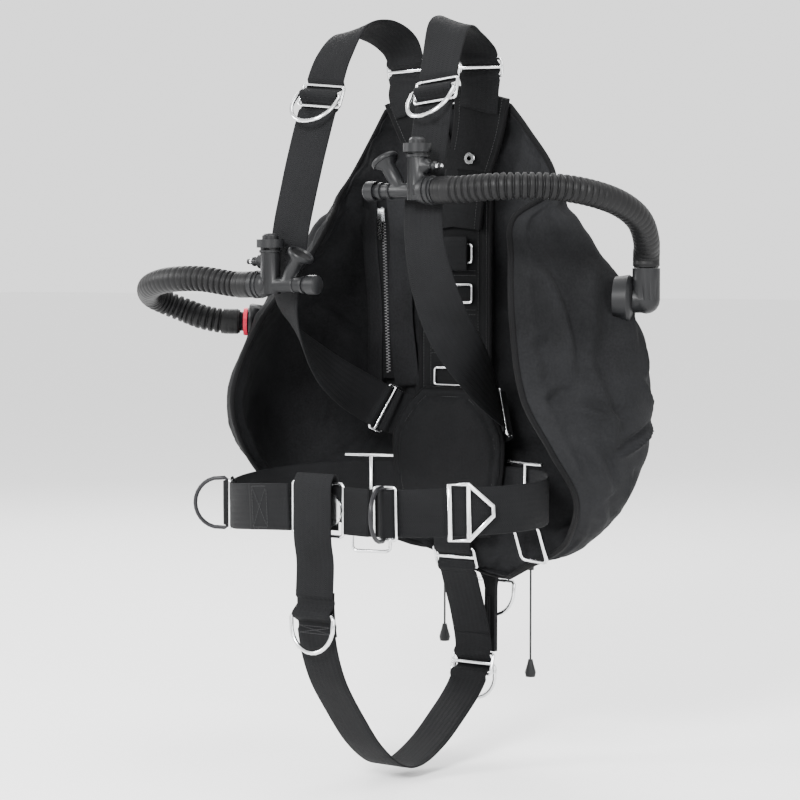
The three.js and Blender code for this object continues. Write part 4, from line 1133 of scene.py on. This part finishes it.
def build_lumbar_pad():
    """The padded back plate: filled with foam, with a sewn channel and piping inside its edge."""
    low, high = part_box("lumbar_pad")
    outline = outline_of("lumbar_pad", low.y / MM)
    pad = add_object("lumbar_pad_cloth", frame["nodes"]["lumbar_pad"].data.copy())
    select_only(pad)
    remesh = pad.modifiers.new("weave", "REMESH")
    remesh.mode, remesh.voxel_size = "VOXEL", PAD_VOXEL
    bpy.ops.object.modifier_apply(modifier=remesh.name)
    for vertex in pad.data.vertices:
        vertex.co.y += (PAD_MIDDLE - vertex.co.y) * 0.25
    rim = [v.index for v in pad.data.vertices
           if from_outline(Vector((v.co.x, v.co.z)) / MM, outline) < 3 or v.co.y > PAD_BACK]
    puff(pad, rim, pressure=3.0, slack=0.02, caps=[PAD_CAP] * len(pad.data.vertices))
    subdivide(pad, 1)
    for vertex in pad.data.vertices:
        if vertex.co.y < PAD_FRONT:
            away = from_outline(Vector((vertex.co.x, vertex.co.z)) / MM, outline)
            vertex.co.y += PAD_CHANNEL_DEPTH * math.exp(-((away - PAD_CHANNEL) / 2.2) ** 2)
            vertex.co.y = max(vertex.co.y, low.y - 0.002)
    pad.data.polygons.foreach_set("use_smooth", [True] * len(pad.data.polygons))
    keep(pad, PAD_CLOTH, "padding", stands_for=["lumbar_pad"])
    middle = Vector((0, (low.z + high.z) / 2 / MM))
    inner = [p + (middle - p).normalized() * 9.5 for p in outline]
    path = [((p.x, low.y / MM + 2.6, p.y), (0, -1, 0)) for p in inner + inner[:1]]
    sew("lumbar_pad_stitches", [path])
    rim_path = [Vector((p.x, PAD_MIDDLE / MM, p.y)) for p in outline]
    piping("lumbar_pad_piping", rim_path, 2.4, closed=True)


TOOTH_PITCH = 1.7
ZIP_TOP, ZIP_FOOT = Vector((-104, 26.4, 322)), Vector((-104, 37.6, 118))


def build_zipper():
    """Coil teeth down the tape, and the storm flap beside them."""
    points, faces = [], []
    along = (ZIP_FOOT - ZIP_TOP).normalized()
    out = Vector((0, -1, -0.055)).normalized()
    count = int((ZIP_FOOT - ZIP_TOP).length / TOOTH_PITCH)
    for i in range(4, count - 3):
        side = 1 if i % 2 else -1
        spot = ZIP_TOP + along * (i * TOOTH_PITCH) + out * 2.1 + Vector((side * 1.3, 0, 0))
        base = len(points)
        for a, w, h in ((-0.6, 1.0, 0.0), (-0.5, 1.5, 0.8), (0.5, 1.5, 0.8), (0.6, 1.0, 0.0)):
            here, foot, crown = spot + along * a, Vector((w, 0, 0)), Vector((w * 0.7, 0, 0))
            points += [here + foot, here + crown + out * h, here - crown + out * h, here - foot]
        faces += [tuple(base + v for v in face) for face in rings_to_faces(4, 4)]
    teeth = mesh_piece("zipper_teeth", points, faces, smooth=False)
    face_outwards(teeth)
    keep(teeth, COIL, "plastic")
    for name, x, width, lift in (("storm_flap_inner", -80, 32, 2.0), ("storm_flap_outer", -122, 22, 0.5)):
        sway = 3.0 if x > -100 else -2.0
        tilt = 0.12 if x > -100 else -0.1
        front, drop = ZIP_TOP.y - 2.6 - lift, ZIP_FOOT.y - ZIP_TOP.y + 2
        stations = [(x + sway * math.sin(k * 1.3), front + drop * k / 6, ZIP_TOP.z + 4 - 36 * k, 1, tilt, 0)
                    for k in range(7)]
        flap = webbing(name, Route(stations), width=width, thick=1.8, step=4.0, cup=1.6, seed=11.0 + x)
        keep(flap, LIFTED_NYLON, "nylon")


BOX_STEPS = 9
BOX_EDGE = WIDE / 2 - 3.0


def sewn_box(route, distance, length, lift=0.0):
    """Stitch lines of a crossed box of sewing over a strap, centred at a distance along it."""
    first, last = distance - length / 2, distance + length / 2

    def spot(d, a):
        place, _, across, out = route.at(d)
        return place + across * a + out * (lift + THICK / 2 + 0.35), out

    rows = [[spot(d, BOX_EDGE * (2 * k / BOX_STEPS - 1)) for k in range(BOX_STEPS + 1)] for d in (first, last)]
    rows += [[spot(first + (last - first) * k / BOX_STEPS, a) for k in range(BOX_STEPS + 1)]
             for a in (-BOX_EDGE, BOX_EDGE)]
    rows += [[spot(first + (last - first) * k / BOX_STEPS, flip * BOX_EDGE * (2 * k / BOX_STEPS - 1))
              for k in range(BOX_STEPS + 1)] for flip in (1, -1)]
    return rows


def build_strap_stitches():
    belt, crotch = Route(BELT), Route(CROTCH)
    front = crotch.marks[10] + 10
    rows = sewn_box(belt, belt.length - 44, 24, lift=LAYER)
    rows += sewn_box(crotch, crotch.length - 12, 16)
    rows += sewn_box(crotch, 14, 18)
    sew("harness_box_stitches", rows)
    sew("keeper_stitches", sewn_box(crotch, front + 17, 8))


def collar(inner, outer, half, flat):
    """The profile of a raised band round a pipe, with chamfered edges."""
    return [(inner, -half), (outer, -flat), (outer, flat), (inner, half), (inner, -half)]


MOUTHPIECE_LIP = [(9.5, -3.0), (14.2, -2.6), (15.0, -1.2), (15.0, 1.2), (14.0, 2.6), (12.2, 2.8), (11.4, 1.6),
                  (10.6, -1.5), (9.5, -3.0)]
NIPPLE_PIN = [(0, 0), (2.4, 0), (2.4, 1.6), (3.1, 2.2), (3.1, 4.6), (2.2, 5.4), (2.2, 8.6), (1.4, 9.4), (0, 9.4)]


def build_inflator_details():
    for side, foot, sign in (("left", FOOT_LEFT, 1), ("right", FOOT_RIGHT, -1)):
        outward = Vector((sign, 0, 0))
        up = Vector((0, 0, 1))
        inward = -outward
        lean = (inward * 0.55 + up * 0.83).normalized()
        lip = foot + inward * 22 + up * 2 + lean * 36
        turned(f"mouthpiece_lip_{side}", MOUTHPIECE_LIP, lip, lean)
        turned(f"mouthpiece_mesh_{side}", [(0, -0.2), (11.4, -0.2), (11.4, 0.6), (0, 0.6)], lip, lean, RUBBER)
        turned(f"hose_clamp_{side}", collar(14.4, 15.3, 1.8, 1.4), foot + outward * 19, outward)
        turned(f"hose_clamp_second_{side}", collar(14.4, 15.0, 1.2, 0.9), foot + outward * 13, outward)
        turned(f"nipple_pin_{side}", NIPPLE_PIN, foot + up * 25 + outward * 22.6, outward, STEEL, "steel")
        turned(f"barrel_collar_{side}", collar(10.8, 12.2, 1.6, 1.2), foot + up * 36, up)
        turned(f"tube_collar_{side}", collar(7.8, 9.3, 2, 1.6), foot + inward * 46, outward)
        turned(f"tube_collar_inner_{side}", collar(7.8, 8.8, 1.4, 1.1), foot + inward * 34, outward)


build_camera()
build_frame_copies()
build_hose("left", HOSE_LEFT, "hose_left")
build_hose("right", HOSE_RIGHT, "hose_right")
build_pull_cords()
build_studio()
for node, material, slot in (("yoke_panel", PANEL, "nylon"), ("zipper_tape", PAD_CLOTH, "webbing"),
                             ("tail_tab", PAD_CLOTH, "webbing")):
    smooth_copy(node, material, slot, degrees=30)
build_straps()
build_wing()
build_wing_edge()
build_spine()
build_yoke_edges()
build_lumbar_pad()
build_zipper()
build_strap_stitches()
build_inflator_details()
